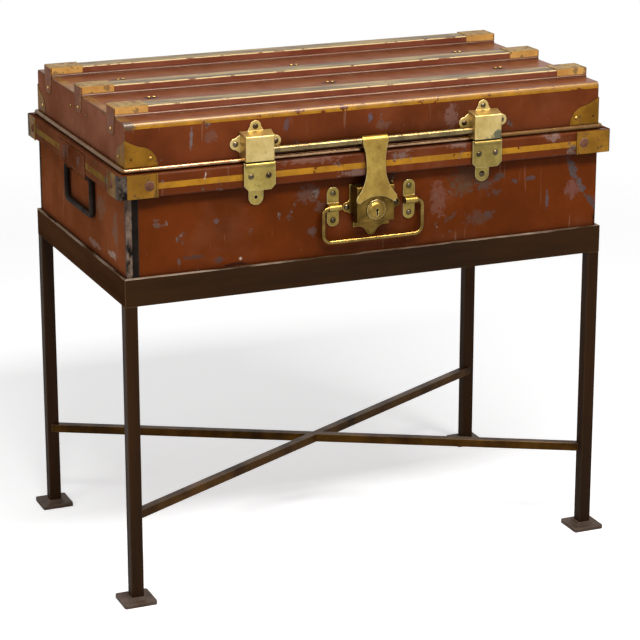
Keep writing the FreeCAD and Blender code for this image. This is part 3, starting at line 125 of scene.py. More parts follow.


# Stoving enamel on pressed steel sheet: a deep orange brown with a low gloss, clouded,
# greyed in long rubs, scuffed in places, chipped down to grey steel and polished along
# the ribs and over the bend of the lid. Its edges take a tint that is partly rubbed wear
# and, where pale, partly a painted highlight; its corners and the wall under the band are
# darkened as painted shade. A low shine keeps white light from veiling it.
def worn_enamel(name, trims=(), bare=(0.63, 0.68), fade=0.25, tint="#662c09", deep="#532304", scuffs=(),
                edge_rub_and_highlight="#4a3020", shine=0.05, polished=()):
    material, tree = new_material(name)
    place = add(tree, "TexCoord", out="Object")
    cloud = patches(tree, place, size=95, low=0.3, high=0.7)
    colour = add(tree, "Mix", {MASK: cloud, UNDER: linear(deep), OVER: linear(tint)}, **COLOUR_MIX)
    faded = patches(tree, place, size=150, low=0.5, high=0.68, detail=6)
    faded = add(tree, "Math", {0: faded, 1: fade}, operation="MULTIPLY")
    colour = add(tree, "Mix", {MASK: faded, UNDER: colour, OVER: linear("#7c4c34")}, **COLOUR_MIX)
    rubs = patches(tree, place, size=9, low=0.66, high=0.74, detail=2, stretch=(1, 1, 0.08))
    rubs = add(tree, "Math", {0: rubs, 1: 0.28}, operation="MULTIPLY")
    colour = add(tree, "Mix", {MASK: rubs, UNDER: colour, OVER: linear("#96705c")}, **COLOUR_MIX)
    for areas, dark, light, wear in trims:
        trim = inside(tree, place, areas)
        lost = patches(tree, place, size=16, low=wear[0], high=wear[1], detail=6)
        kept = add(tree, "Math", {0: 1.0, 1: lost}, operation="SUBTRACT")
        trim = add(tree, "Math", {0: trim, 1: kept}, operation="MULTIPLY")
        brush = patches(tree, place, size=30, low=0.3, high=0.7)
        tone = add(tree, "Mix", {MASK: brush, UNDER: linear(dark), OVER: linear(light)}, **COLOUR_MIX)
        colour = add(tree, "Mix", {MASK: trim, UNDER: colour, OVER: tone}, **COLOUR_MIX)
    if scuffs:
        colour = scuffed(tree, place, colour, scuffs)
    chips = patches(tree, place, size=34, low=bare[0], high=bare[1], detail=8)
    steel = patches(tree, place, size=6, low=0.35, high=0.65)
    metal = add(tree, "Mix", {MASK: steel, UNDER: linear("#3c322c"), OVER: linear("#756860")}, **COLOUR_MIX)
    chipped = add(tree, "Math", {0: chips, 1: 0.75}, operation="MULTIPLY")
    colour = add(tree, "Mix", {MASK: chipped, UNDER: colour, OVER: metal}, **COLOUR_MIX)
    edges, soft = worn_edges(tree, place, radius=2.5, low=0.45, high=0.6, size=22)
    # Edge tint: rubbed wear, and where the tint is pale a painted highlight along the edges.
    rim = add(tree, "Math", {0: edges, 1: 0.6}, operation="MULTIPLY")
    colour = add(tree, "Mix", {MASK: rim, UNDER: colour, OVER: linear(edge_rub_and_highlight)}, **COLOUR_MIX)
    # Painted shade: darkened where occlusion finds corners and overhangs, such as under the band.
    corner = add(tree, "AmbientOcclusion", {"Distance": 35 * MM}, out="AO", samples=4)
    dirt_and_shade = add(tree, "MapRange", {"Value": corner, "From Min": 0.9, "From Max": 0.35, "To Max": 0.75})
    colour = add(tree, "Mix", {MASK: dirt_and_shade, UNDER: colour, OVER: linear("#2a1006")}, **COLOUR_MIX)
    gloss = add(tree, "MapRange", {"Value": cloud, "To Min": 0.28, "To Max": 0.42})
    wave = add(tree, "TexNoise", {"Vector": place, "Scale": per_metre(70), "Detail": 2})
    dented = add(tree, "Bump", {"Strength": 0.3, "Distance": 2.2 * MM, "Height": wave, "Normal": soft})
    chip_edge = add(tree, "Bump", {"Strength": 0.3, "Distance": 0.3 * MM, "Height": chips, "Normal": dented},
                    invert=True)
    finish = {"Base Color": colour, "Roughness": gloss, "Normal": chip_edge, "Specular IOR Level": shine}
    if polished:
        finish["Coat Weight"] = inside(tree, place, polished)
        finish["Coat Roughness"] = 0.28
    shader = add(tree, "BsdfPrincipled", finish)
    add(tree, "OutputMaterial", {"Surface": shader})
    return material


# Sheet and cast brass gone dull: an even yellow with brown patina in the corners, deepened
# there as painted shade, greenish stains, fine specks and edges that handling keeps bright;
# chosen areas are painted dark and less metallic as painted shade. Other tones make it the
# dark steel of rivets and hinges.
def old_brass(name, light, dark, stain="#5d5430", rough=0.36, edge="#e2cf98", grime_and_shade=0.55, rub=0.85,
              grain=0.25, cover=0.6, stains=(), scuffs=(), dull_and_shaded=(), crease=0.75):
    material, tree = new_material(name)
    place = add(tree, "TexCoord", out="Object")
    cloud = patches(tree, place, size=26, low=0.3, high=0.7, detail=6)
    colour = add(tree, "Mix", {MASK: cloud, UNDER: linear(dark), OVER: linear(light)}, **COLOUR_MIX)
    blots = patches(tree, place, size=9, low=0.58, high=0.72, detail=8)
    if stains:
        placed = inside(tree, place, stains)
        eaten = patches(tree, place, size=8, low=0.4, high=0.55, detail=6)
        placed = add(tree, "Math", {0: placed, 1: eaten}, operation="MULTIPLY")
        blots = add(tree, "Math", {0: blots, 1: placed}, operation="MAXIMUM")
    blots = add(tree, "Math", {0: blots, 1: cover}, operation="MULTIPLY")
    colour = add(tree, "Mix", {MASK: blots, UNDER: colour, OVER: linear(stain)}, **COLOUR_MIX)
    if scuffs:
        colour = scuffed(tree, place, colour, scuffs)
    metal = 1.0
    # Painted shade: these areas are darkened towards the stain and made less metallic.
    if dull_and_shaded:
        dull = inside(tree, place, dull_and_shaded)
        dull = add(tree, "Math", {0: dull, 1: 0.8}, operation="MULTIPLY")
        metal = add(tree, "Math", {0: 1.0, 1: dull}, operation="SUBTRACT")
        colour = add(tree, "Mix", {MASK: dull, UNDER: colour, OVER: linear(stain)}, **COLOUR_MIX)
    specks = patches(tree, place, size=2.2, low=0.66, high=0.72, detail=2)
    specks = add(tree, "Math", {0: specks, 1: 0.6}, operation="MULTIPLY")
    colour = add(tree, "Mix", {MASK: specks, UNDER: colour, OVER: linear("#3d2c14")}, **COLOUR_MIX)
    edges, soft = worn_edges(tree, place, radius=1.2, low=0.3, high=0.5, size=10, rays=16)
    rim = add(tree, "Math", {0: edges, 1: rub}, operation="MULTIPLY")
    colour = add(tree, "Mix", {MASK: rim, UNDER: colour, OVER: linear(edge)}, **COLOUR_MIX)
    # Brown patina in the corners, deepened by crease and grime as painted shade.
    corner = add(tree, "AmbientOcclusion", {"Distance": 4 * MM}, out="AO", samples=4)
    dirt_and_shade = add(tree, "MapRange", {"Value": corner, "From Min": crease, "From Max": 0.25, "To Max": grime_and_shade})
    colour = add(tree, "Mix", {MASK: dirt_and_shade, UNDER: colour, OVER: linear("#33220e")}, **COLOUR_MIX)
    gloss = add(tree, "MapRange", {"Value": cloud, "To Min": rough + 0.1, "To Max": rough - 0.06})
    pits = add(tree, "TexNoise", {"Vector": place, "Scale": per_metre(3), "Detail": 4})
    rubbed = add(tree, "Bump", {"Strength": grain, "Distance": 0.3 * MM, "Height": pits, "Normal": soft})
    shader = add(tree, "BsdfPrincipled", {"Base Color": colour, "Metallic": metal, "Roughness": gloss,
                                          "Normal": rubbed, "Specular IOR Level": 0.05})
    add(tree, "OutputMaterial", {"Surface": shader})
    return material


# Painted plates and caps: ochre enamel on thin sheet, browned, with dark chips
# and rubbed edges; some areas keep the brown of the shell or are worn to another tone.
def ochre_plate(name, light="#b5852a", dark="#8f661d", bare=(0.6, 0.66), bare_tint="#4c3826", zones=(),
                edge="#5b452b", shine=0.15):
    material, tree = new_material(name)
    place = add(tree, "TexCoord", out="Object")
    cloud = patches(tree, place, size=30, low=0.3, high=0.7, detail=6)
    colour = add(tree, "Mix", {MASK: cloud, UNDER: linear(dark), OVER: linear(light)}, **COLOUR_MIX)
    for areas, low, high in zones:
        worn = inside(tree, place, areas)
        mottle = patches(tree, place, size=9, low=0.35, high=0.65, detail=6)
        tone = add(tree, "Mix", {MASK: mottle, UNDER: linear(low), OVER: linear(high)}, **COLOUR_MIX)
        colour = add(tree, "Mix", {MASK: worn, UNDER: colour, OVER: tone}, **COLOUR_MIX)
    chips = patches(tree, place, size=15, low=bare[0], high=bare[1], detail=8)
    chipped = add(tree, "Math", {0: chips, 1: 0.7}, operation="MULTIPLY")
    colour = add(tree, "Mix", {MASK: chipped, UNDER: colour, OVER: linear(bare_tint)}, **COLOUR_MIX)
    edges, soft = worn_edges(tree, place, radius=1.2, low=0.35, high=0.55, size=12)
    rim = add(tree, "Math", {0: edges, 1: 0.7}, operation="MULTIPLY")
    colour = add(tree, "Mix", {MASK: rim, UNDER: colour, OVER: linear(edge)}, **COLOUR_MIX)
    # Painted shade: darkened where occlusion finds corners.
    corner = add(tree, "AmbientOcclusion", {"Distance": 6 * MM}, out="AO", samples=4)
    dirt_and_shade = add(tree, "MapRange", {"Value": corner, "From Min": 0.75, "From Max": 0.25, "To Max": 0.55})
    colour = add(tree, "Mix", {MASK: dirt_and_shade, UNDER: colour, OVER: linear("#2b1609")}, **COLOUR_MIX)
    gloss = add(tree, "MapRange", {"Value": cloud, "To Min": 0.34, "To Max": 0.48})
    dented = add(tree, "Bump", {"Strength": 0.3, "Distance": 0.6 * MM, "Height": chips, "Normal": soft},
                 invert=True)
    shader = add(tree, "BsdfPrincipled", {"Base Color": colour, "Roughness": gloss, "Normal": dented,
                                          "Specular IOR Level": shine})
    add(tree, "OutputMaterial", {"Surface": shader})
    return material


# Battens: painted hardwood strips; the tops are trodden and scraped to a greyed
# ochre, a thin gold line with a dark seam behind it is left along each upper front
# edge and the sides keep the brown.
def batten_paint(name, tops, lines, seams):
    material, tree = new_material(name)
    place = add(tree, "TexCoord", out="Object")
    cloud = patches(tree, place, size=60, low=0.3, high=0.7)
    colour = add(tree, "Mix", {MASK: cloud, UNDER: linear("#703824"), OVER: linear("#844a34")}, **COLOUR_MIX)
    gold = inside(tree, place, lines)
    worn = patches(tree, place, size=22, low=0.55, high=0.63, detail=8)
    worn = add(tree, "Math", {0: 1.0, 1: worn}, operation="SUBTRACT")
    gold = add(tree, "Math", {0: gold, 1: worn}, operation="MULTIPLY")
    colour = add(tree, "Mix", {MASK: gold, UNDER: colour, OVER: linear("#dec28c")}, **COLOUR_MIX)
    trodden = inside(tree, place, tops)
    streak = patches(tree, place, size=14, low=0.38, high=0.62, detail=8, stretch=ALONG_X)
    grey = add(tree, "Mix", {MASK: streak, UNDER: linear("#5a452c"), OVER: linear("#ad966e")}, **COLOUR_MIX)
    marks = patches(tree, place, size=8, low=0.58, high=0.66, detail=8, stretch=(0.2, 1, 1))
    marks = add(tree, "Math", {0: marks, 1: 0.8}, operation="MULTIPLY")
    grey = add(tree, "Mix", {MASK: marks, UNDER: grey, OVER: linear("#4a3527")}, **COLOUR_MIX)
    trodden = add(tree, "Math", {0: trodden, 1: gold}, operation="SUBTRACT", use_clamp=True)
    colour = add(tree, "Mix", {MASK: trodden, UNDER: colour, OVER: grey}, **COLOUR_MIX)
    seam = inside(tree, place, seams)
    crack = patches(tree, place, size=20, low=0.35, high=0.5, detail=6)
    seam = add(tree, "Math", {0: seam, 1: crack}, operation="MULTIPLY")
    colour = add(tree, "Mix", {MASK: seam, UNDER: colour, OVER: linear("#2a1e10")}, **COLOUR_MIX)
    edges, soft = worn_edges(tree, place, radius=1.5, low=0.5, high=0.6, size=12)
    rim = add(tree, "Math", {0: edges, 1: 0.5}, operation="MULTIPLY")
    colour = add(tree, "Mix", {MASK: rim, UNDER: colour, OVER: linear("#3b2a1d")}, **COLOUR_MIX)
    gloss = add(tree, "MapRange", {"Value": streak, "To Min": 0.34, "To Max": 0.5})
    scraped = add(tree, "Bump", {"Strength": 0.4, "Distance": 0.5 * MM, "Height": marks, "Normal": soft},
                  invert=True)
    shader = add(tree, "BsdfPrincipled", {"Base Color": colour, "Roughness": gloss, "Normal": scraped,
                                          "Specular IOR Level": 0.1})
    add(tree, "OutputMaterial", {"Surface": shader})
    return material


# Steel bar with a bronzed lacquer: nearly black brown, satin, streaked along its
# length and paler where an edge has rubbed. Other tones make it black or forged iron,
# feet made lighter, partly rubbed and partly as painted reflection, and painted nail heads.
def bronzed_steel(name, dark, light, streak, rough=0.42, edge="#8a7357", grain=40, metallic=0.0, rub=0.75,
                  shine=0.05, zones=()):
    material, tree = new_material(name)
    place = add(tree, "TexCoord", out="Object")
    cloud = patches(tree, place, size=grain, low=0.3, high=0.7, detail=5, stretch=streak)
    colour = add(tree, "Mix", {MASK: cloud, UNDER: linear(dark), OVER: linear(light)}, **COLOUR_MIX)
    for areas, low, high in zones:
        worn = inside(tree, place, areas)
        ragged = patches(tree, place, size=12, low=0.38, high=0.55, detail=6, stretch=streak)
        worn = add(tree, "Math", {0: worn, 1: ragged}, operation="MULTIPLY")
        tone = add(tree, "Mix", {MASK: cloud, UNDER: linear(low), OVER: linear(high)}, **COLOUR_MIX)
        colour = add(tree, "Mix", {MASK: worn, UNDER: colour, OVER: tone}, **COLOUR_MIX)
    edges, soft = worn_edges(tree, place, radius=1.6, low=0.2, high=0.6, size=60)
    rim = add(tree, "Math", {0: edges, 1: rub}, operation="MULTIPLY")
    colour = add(tree, "Mix", {MASK: rim, UNDER: colour, OVER: linear(edge)}, **COLOUR_MIX)
    # Painted shade: darkened where occlusion finds corners and joints.
    corner = add(tree, "AmbientOcclusion", {"Distance": 12 * MM}, out="AO", samples=4)
    dirt_and_shade = add(tree, "MapRange", {"Value": corner, "From Min": 0.75, "From Max": 0.3, "To Max": 0.5})
    colour = add(tree, "Mix", {MASK: dirt_and_shade, UNDER: colour, OVER: linear("#140d08")}, **COLOUR_MIX)
    gloss = add(tree, "MapRange", {"Value": cloud, "To Min": rough + 0.08, "To Max": rough - 0.06})
    pits = add(tree, "TexNoise", {"Vector": place, "Scale": per_metre(4), "Detail": 3})
    rolled = add(tree, "Bump", {"Strength": 0.15, "Distance": 0.4 * MM, "Height": pits, "Normal": soft})
    shader = add(tree, "BsdfPrincipled", {"Base Color": colour, "Metallic": metallic, "Roughness": gloss,
                                          "Normal": rolled, "Specular IOR Level": shine})
    add(tree, "OutputMaterial", {"Surface": shader})
    return material


def paint(material, *names):
    """Give the named nodes this material alone."""
    for name in names:
        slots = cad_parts[name].data.materials
        slots.clear()
        slots.append(material)


# Painted areas of the shell, in millimetres; FAR runs past the part. A trim has its areas,
# a dark and a light tone, and the limits of its wear.
FAR = 1000
BAND_STRIPE = (633, 642)
BAND_STRIPE_HALF = 337
END_STRIPE_HALF = 185
LID_STRIPE = (718.5, 727.2)
LID_STRIPE_BACK = -212
LID_FLAT = (727.6, 729.5)
LID_BEND_INNER = 209
LID_BEND_FOOT = 722
LID_END_LINE = -366
LID_END_LINE_HALF = 200
LID_END_LINE_LEVELS = (727, 730)
BATTEN_PLACES = (-156, 0, 156)
BATTEN_HALF = 16.5
RIB_HALF = 22
RIB_SHOULDER = 731.2
OCHRE = ("#8e601a", "#b07a1d")
lid_flats = [(None, (-LID_BEND_INNER, LID_BEND_INNER), LID_FLAT)]
lid_end_line = [((-FAR, LID_END_LINE), (-LID_END_LINE_HALF, LID_END_LINE_HALF), LID_END_LINE_LEVELS)]
lid_trims = [(lid_flats, "#763c20", "#875232", (0.66, 0.8)),
             ([(None, (-FAR, LID_STRIPE_BACK), LID_STRIPE)], *OCHRE, (0.6, 0.64)),
             (lid_end_line, "#7e5228", "#9a6e3c", (0.5, 0.64))]
band_trims = [([((-BAND_STRIPE_HALF, BAND_STRIPE_HALF), None, BAND_STRIPE)], *OCHRE, (0.61, 0.65))]
end_band_trims = [([(None, (-END_STRIPE_HALF, END_STRIPE_HALF), BAND_STRIPE)], "#6f5428", "#8a6a35",
                   (0.56, 0.66))]
rib_shoulders = [(None, (middle - RIB_HALF, middle - BATTEN_HALF), (RIB_SHOULDER, FAR))
                 for middle in BATTEN_PLACES]
lid_bend = [(None, (-FAR, -LID_BEND_INNER), (LID_BEND_FOOT, FAR))]

# Scuffs of the shell, in millimetres and degrees, with a few dark marks that are painted
# shade: rings round the studs and a spot seen through a tab's hole. WALL keeps one to the
# outside of a sheet and THROUGH lets it run round the band's edges.
FRONT_FACE = -215
BAND_FACE = -229
LEFT_END_FACE = -381
LID_TOP_FACE = 728
WALL = 0.7
THROUGH = 40


def on_front(face, depth, rows):
    """Scuffs on a front face, from rows of x, z, turn, half width, half height, tone and cover."""
    return [((x, face, z), turn, (wide, depth, high), tone, cover)
            for x, z, turn, wide, high, tone, cover in rows]


body_scuffs = on_front(FRONT_FACE, WALL, [
    (338, 598, -15, 7, 18, "#4b4443", 0.85),
    (352, 570, -31, 6, 24, "#4f4847", 0.85),
    (374, 540, -36, 5, 22, "#46403f", 0.8),
    (340, 562, 0, 14, 16, "#6f4b42", 0.7),
    (162, 600, 0, 36, 18, "#4a3527", 0.7),
    (111, 570, 0, 15, 30, "#704a3d", 0.6),
    (296, 551, 0, 3, 15, "#55494a", 0.8),
    (266, 588, 0, 9, 4, "#4c4346", 0.7),
    (180, 534, 0, 24, 12, "#523c31", 0.6),
    (-102, 600, 0, 17, 15, "#5b453c", 0.6),
    (-82, 578, 0, 9, 9, "#5f4a42", 0.5),
    (-95, 541, 0, 8, 9, "#5a4a45", 0.6),
    (384, 512, 0, 9, 20, "#140d0a", 0.9),
    # Painted shade: a dark spot on the body wall, seen through the hole of a tab.
    (-183, 602.8, 0, 5, 5, "#140d0a", 0.95),
    (212, 594, -25, 13, 7, "#4a3d38", 0.8),
    (188, 584, 0, 14, 8, "#4c3b33", 0.75),
    (239, 586, 0, 7, 4, "#4b4040", 0.75),
    (206, 571, 0, 13, 6, "#4e3a31", 0.7),
    (152, 583, 0, 20, 12, "#55402f", 0.6),
    (197, 539, 0, 9, 5, "#4a3a35", 0.75),
    (133, 541, -40, 11, 4, "#4d3a32", 0.7),
    (-281, 523, 0, 17, 3, "#45352e", 0.75),
    (-242, 514, 0, 9, 5, "#4a3a35", 0.75),
    (-302, 516, 0, 3, 6, "#5a4a45", 0.75),
    (-333, 575, 0, 9, 4, "#5c4a40", 0.7),
    (-245, 573, 0, 4, 5, "#5a4d4c", 0.75),
    (-208, 513, 20, 3, 2.5, "#c9b6a8", 0.8),
    (-215, 505, 0, 22, 3, "#241510", 0.8),
])
lid_scuffs = on_front(FRONT_FACE, WALL, [
    (-134, 706, 0, 5, 12, "#57494a", 0.7),
    (-1, 705, 0, 5, 8, "#565560", 0.7),
    (18, 692, 0, 15, 8, "#6b5045", 0.5),
    (-281, 695, 4, 2.5, 22, "#6b6260", 0.75),
    (-250, 698, 0, 13, 10, "#6b5045", 0.4),
    (131, 695, 0, 12, 22, "#7a5a50", 0.6),
])
STUD_STATIONS = (-287, 0, 287)
STUD_ROWS = (-60, 84)
lid_corner_scuff = ((-377.5, FRONT_FACE, 724), 0, (16, 16, 9), "#463a32", 0.8)
# Painted shade: dark rings on the lid round each pair of studs.
stud_shade_rings = [((station, row, LID_TOP_FACE), 0, (15, 9, WALL), "#2e160b", 0.9)
               for station in STUD_STATIONS for row in STUD_ROWS]
band_scuffs = on_front(BAND_FACE, THROUGH, [
    (297, 651, 0, 18, 7, "#8b7268", 0.6),
    (136, 655, 0, 20, 6, "#84675c", 0.6),
    (267, 615, 0, 60, 7, "#6d5a50", 0.5),
    (-104, 653, 0, 42, 6, "#7d5c50", 0.5),
    (42, 647, 0, 18, 8, "#77655c", 0.6),
    (-30, 628, 0, 28, 6, "#7b685e", 0.5),
    (-265, 647, 10, 2, 7, "#c9b6a8", 0.7),
])
end_scuffs = [
    ((LEFT_END_FACE, -95, 580), 0, (WALL, 26, 20), "#7b5a48", 0.7),
    ((LEFT_END_FACE, -165, 560), 0, (WALL, 14, 30), "#7d6252", 0.6),
    ((LEFT_END_FACE, -150, 520), 0, (WALL, 20, 6), "#a8968a", 0.7),
    ((LEFT_END_FACE, -60, 515), 0, (WALL, 30, 6), "#8d766a", 0.6),
]

body_enamel = worn_enamel("body_stoving_enamel", bare=(0.62, 0.67), scuffs=body_scuffs)
lid_enamel = worn_enamel("lid_stoving_enamel", lid_trims, bare=(0.66, 0.7), tint="#6c3212",
                         scuffs=lid_scuffs + [lid_corner_scuff] + stud_shade_rings, edge_rub_and_highlight="#83604c",
                         shine=0.1, polished=rib_shoulders + lid_bend)
band_enamel = worn_enamel("band_stoving_enamel", band_trims, bare=(0.6, 0.67), fade=0.6, scuffs=band_scuffs,
                          edge_rub_and_highlight="#8a6a58", shine=0.1)
# Painted light: the end bands, ends and lid ends take lighter copies of the enamel, for the light that falls
# on the ends.
end_band_enamel = worn_enamel("end_band_stoving_enamel", end_band_trims, bare=(0.6, 0.67), fade=0.8,
                              tint="#75452c", deep="#5f3520", shine=0)
end_enamel = worn_enamel("end_stoving_enamel", bare=(0.64, 0.69), fade=0.35, tint="#8a4d2e", deep="#723d20",
                         scuffs=end_scuffs, shine=0)
lid_end_enamel = worn_enamel("lid_end_stoving_enamel", bare=(0.66, 0.7), fade=0.35, tint="#96624a",
                             deep="#7f4c36", shine=0)
paint(body_enamel, "body_wrapper")
paint(lid_enamel, "lid_wrapper")
paint(end_enamel, "body_left_end", "body_right_end")
paint(lid_end_enamel, "lid_left_end", "lid_right_end")
paint(band_enamel, "front_band", "back_band")
paint(end_band_enamel, "left_band", "right_band")

# Battens, caps, corner plates and straps. The front right strap is bare only at its very corner.
BATTEN_TOP = 741.6
LINE_FOOT = 740.8
LINE_FRONT = 1
LINE_BACK = 1.9
SEAM_FOOT = 741
SEAM_BACK = 4
CAP_TOP = 743
CAP_SHOULDER = 742
CAP_END = 379.9
STRAP_END = -394
STRAP_SIDE = 383
STRAP_FRONT_RIGHT = 393
STRAP_FACE = 217
batten_tops = [(None, None, (BATTEN_TOP, FAR))]
batten_fronts = [middle - BATTEN_HALF for middle in BATTEN_PLACES]
gold_lines = [(None, (front - LINE_FRONT, front + LINE_BACK), (LINE_FOOT, FAR)) for front in batten_fronts]
dark_seams = [(None, (front + LINE_BACK, front + SEAM_BACK), (SEAM_FOOT, FAR)) for front in batten_fronts]
paint(batten_paint("painted_batten_hardwood", batten_tops, gold_lines, dark_seams), "front_batten",
      "middle_batten", "rear_batten")

cap_tops = [(None, None, (CAP_TOP, FAR))]
cap_ends = [((-FAR, -CAP_END), None, (0, CAP_SHOULDER)), ((CAP_END, FAR), None, (0, CAP_SHOULDER))]
cap_zones = [(cap_tops, "#8a6a3c", "#b09058"), (cap_ends, "#6a3413", "#83481f")]
paint(ochre_plate("ochre_cap_enamel", light="#d4a258", dark="#b47e40", bare=(0.55, 0.6),
                  bare_tint="#634c3a", zones=cap_zones, edge="#d2a868", shine=0.04),
      "left_batten_caps", "right_batten_caps")
paint(ochre_plate("ochre_plate_enamel", light="#91661f", dark="#6d4815", shine=0.03), "lid_corner_plates")
strap_ends = [((-FAR, STRAP_END), None, None)]
strap_corners = [((-FAR, -STRAP_SIDE), (-FAR, -STRAP_FACE), None),
                 ((STRAP_FRONT_RIGHT, FAR), (-FAR, -STRAP_FACE), None),
                 ((-FAR, -STRAP_SIDE), (STRAP_FACE, FAR), None),
                 ((STRAP_SIDE, FAR), (STRAP_FACE, FAR), None)]
paint(ochre_plate("ochre_strap_enamel", light="#9a6d26", dark="#78521b", bare=(0.54, 0.6), shine=0.03,
                  zones=[(strap_ends, "#6b4a18", "#8a6322"), (strap_corners, "#15100d", "#5c5047")]),
      "band_corner_straps")
paint(worn_enamel("handle_plate_enamel", bare=(0.55, 0.62), fade=0.5, tint="#7d4c38", edge_rub_and_highlight="#96702e",
                  shine=0), "left_handle_plate", "right_handle_plate")

# Brass and small fittings: the bead is painted dull brown at its left end and right of the catches
# as painted shade, one hood has a dark stain at its foot, and the studs on the ends of the lid are
# blackened.
BEAD_BROWN_LEFT = -384
BEAD_BROWN_RIGHT = 206
LID_END = 378.5
END_STUD_SPAN = (-60, 60)
END_STUD_LEVELS = (695, 708)
bead_painted_shade = [((-FAR, BEAD_BROWN_LEFT), None, None), ((BEAD_BROWN_RIGHT, FAR), None, None)]
hood_stain = [((200, -235, 661), -28, (25, 40, 12), "#46524d", 0.85)]
black_studs = [((-FAR, -LID_END), END_STUD_SPAN, END_STUD_LEVELS),
               ((LID_END, FAR), END_STUD_SPAN, END_STUD_LEVELS)]
paint(old_brass("gilt_wire_bead", "#bd9a78", "#866448", stain="#664720", rough=0.2, rub=0, grain=0,
                dull_and_shaded=bead_painted_shade), "lid_edge_bead")
paint(old_brass("dull_hood_brass", "#d2ba7e", "#b39c5c", rough=0.4, cover=0.4, crease=0.9,
                stain="#5f6a4a", scuffs=hood_stain), "left_catch_hood", "right_catch_hood")
paint(old_brass("stained_striker_brass", "#b8a35c", "#8f7d43", stain="#56562f", rough=0.38, grime_and_shade=0.95,
                cover=0.75, crease=0.95), "left_striker")
paint(old_brass("dark_striker_brass", "#a08d4f", "#7d6c39", stain="#45452a", rough=0.38, grime_and_shade=0.95,
                cover=0.75, crease=0.95), "right_striker")
paint(old_brass("hasp_brass", "#b4974b", "#8a6e35", stain="#5b4620", rough=0.33),
      "hasp_plate", "hasp_staple")
paint(old_brass("rod_brass", "#8d7a52", "#5a4f38", rough=0.2, stain="#2b2210", rub=0, grain=0),
      "turning_rod", "left_hook", "right_hook")
paint(old_brass("lock_bronze", "#846832", "#443412", rough=0.34, edge="#d0b462", grime_and_shade=0.9, crease=0.95),
      "lock_case", "lock_plate", "lock_bolt")
paint(old_brass("turned_boss_brass", "#977c3c", "#685022", rough=0.3), "keyhole_boss", "key_pin")
paint(old_brass("handled_bail_brass", "#987d44", "#624c24", rough=0.18, cover=0.4, rub=0, grain=0),
      "front_bail")
paint(old_brass("saddle_brass", "#a08946", "#786432", rough=0.36, grime_and_shade=0.9, crease=0.95),
      "left_bail_saddle", "right_bail_saddle")
paint(old_brass("rivet_steel", "#6a5f4d", "#362d21", stain="#1d1710", rough=0.2, edge="#4f4433", grime_and_shade=0.9),
      "body_rivets", "hood_rivets")
paint(old_brass("stud_brass", "#c8a25c", "#8d6a36", rough=0.28, stain="#2a190c", stains=black_studs),
      "lid_studs")
paint(old_brass("hinge_steel", "#6d6152", "#45392e", stain="#3a2a1e", rough=0.4, edge="#a69680"),
      "hinge_body_leaves", "hinge_lid_leaves", "hinge_pins")
paint(bronzed_steel("painted_nail_heads", "#5a382a", "#7a5240", EVEN, grain=9, edge="#a08a78", shine=0),
      "band_nails")

# Stand and iron: the streaks run along each bar; the top edge of the rails is pale, partly rubbed
# and partly a painted highlight, and the front of the corner irons is rubbed pale.
RAIL_TOP = 502
RAIL_LINE = 1.6
IRON_SIDE = -373
STAND_TONES = ("#25160a", "#341f0c")
STAND_EDGE = "#6f5638"
rail_top_highlight = [([(None, None, (RAIL_TOP - RAIL_LINE, FAR))], "#6f5a48", "#b09c88")]
iron_front = [([((-FAR, IRON_SIDE), (-FAR, FRONT_FACE), None)], "#4a3a30", "#7b6657")]
paint(bronzed_steel("bronzed_stand_steel", *STAND_TONES, ALONG_Z, edge=STAND_EDGE),
      "front_left_leg", "front_right_leg", "back_left_leg", "back_right_leg")
paint(bronzed_steel("bronzed_rail_steel", *STAND_TONES, ALONG_X, edge=STAND_EDGE, zones=rail_top_highlight),
      "front_rail", "back_rail")
# Painted light: the side rails take a lighter copy of the stand's tone, for the light that falls on them.
paint(bronzed_steel("bronzed_side_steel_painted_light", "#3a2416", "#4e321e", ALONG_Y, edge=STAND_EDGE, shine=0,
                    zones=rail_top_highlight), "left_rail", "right_rail")
# Painted reflection: the feet are lighter than the stand, partly rubbed steel and partly the light their
# tops reflect.
paint(bronzed_steel("foot_steel_rubbed_and_painted_light", "#4a3b30", "#65544a", EVEN, edge="#8a7866"), "foot_plates")
paint(bronzed_steel("rubbed_stretcher_bronze", "#2a1806", "#50340d", EVEN, rough=0.36, grain=60,
                    metallic=0.5), "through_stretcher", "front_right_stretcher", "back_left_stretcher")
paint(bronzed_steel("black_japanned_iron", "#0c0908", "#1f1711", (1, 1, 0.5), edge="#5b4a40", grain=9,
                    zones=iron_front), "corner_irons")
paint(bronzed_steel("forged_handle_iron", "#1f1a18", "#3d342e", EVEN, rough=0.5, edge="#6b5d52",
                    shine=0.01), "left_side_handle", "right_side_handle")


# Floor, light and camera, in metres. The floor fades out before its rim, and the camera sees
# it lifted towards white; AMBIENT is the share of the white world that lights the object.
FLOOR_RADIUS = 2.6
FLOOR_FADE_START = 1.4
FLOOR_LIFT = 0.46
AMBIENT = 0.33


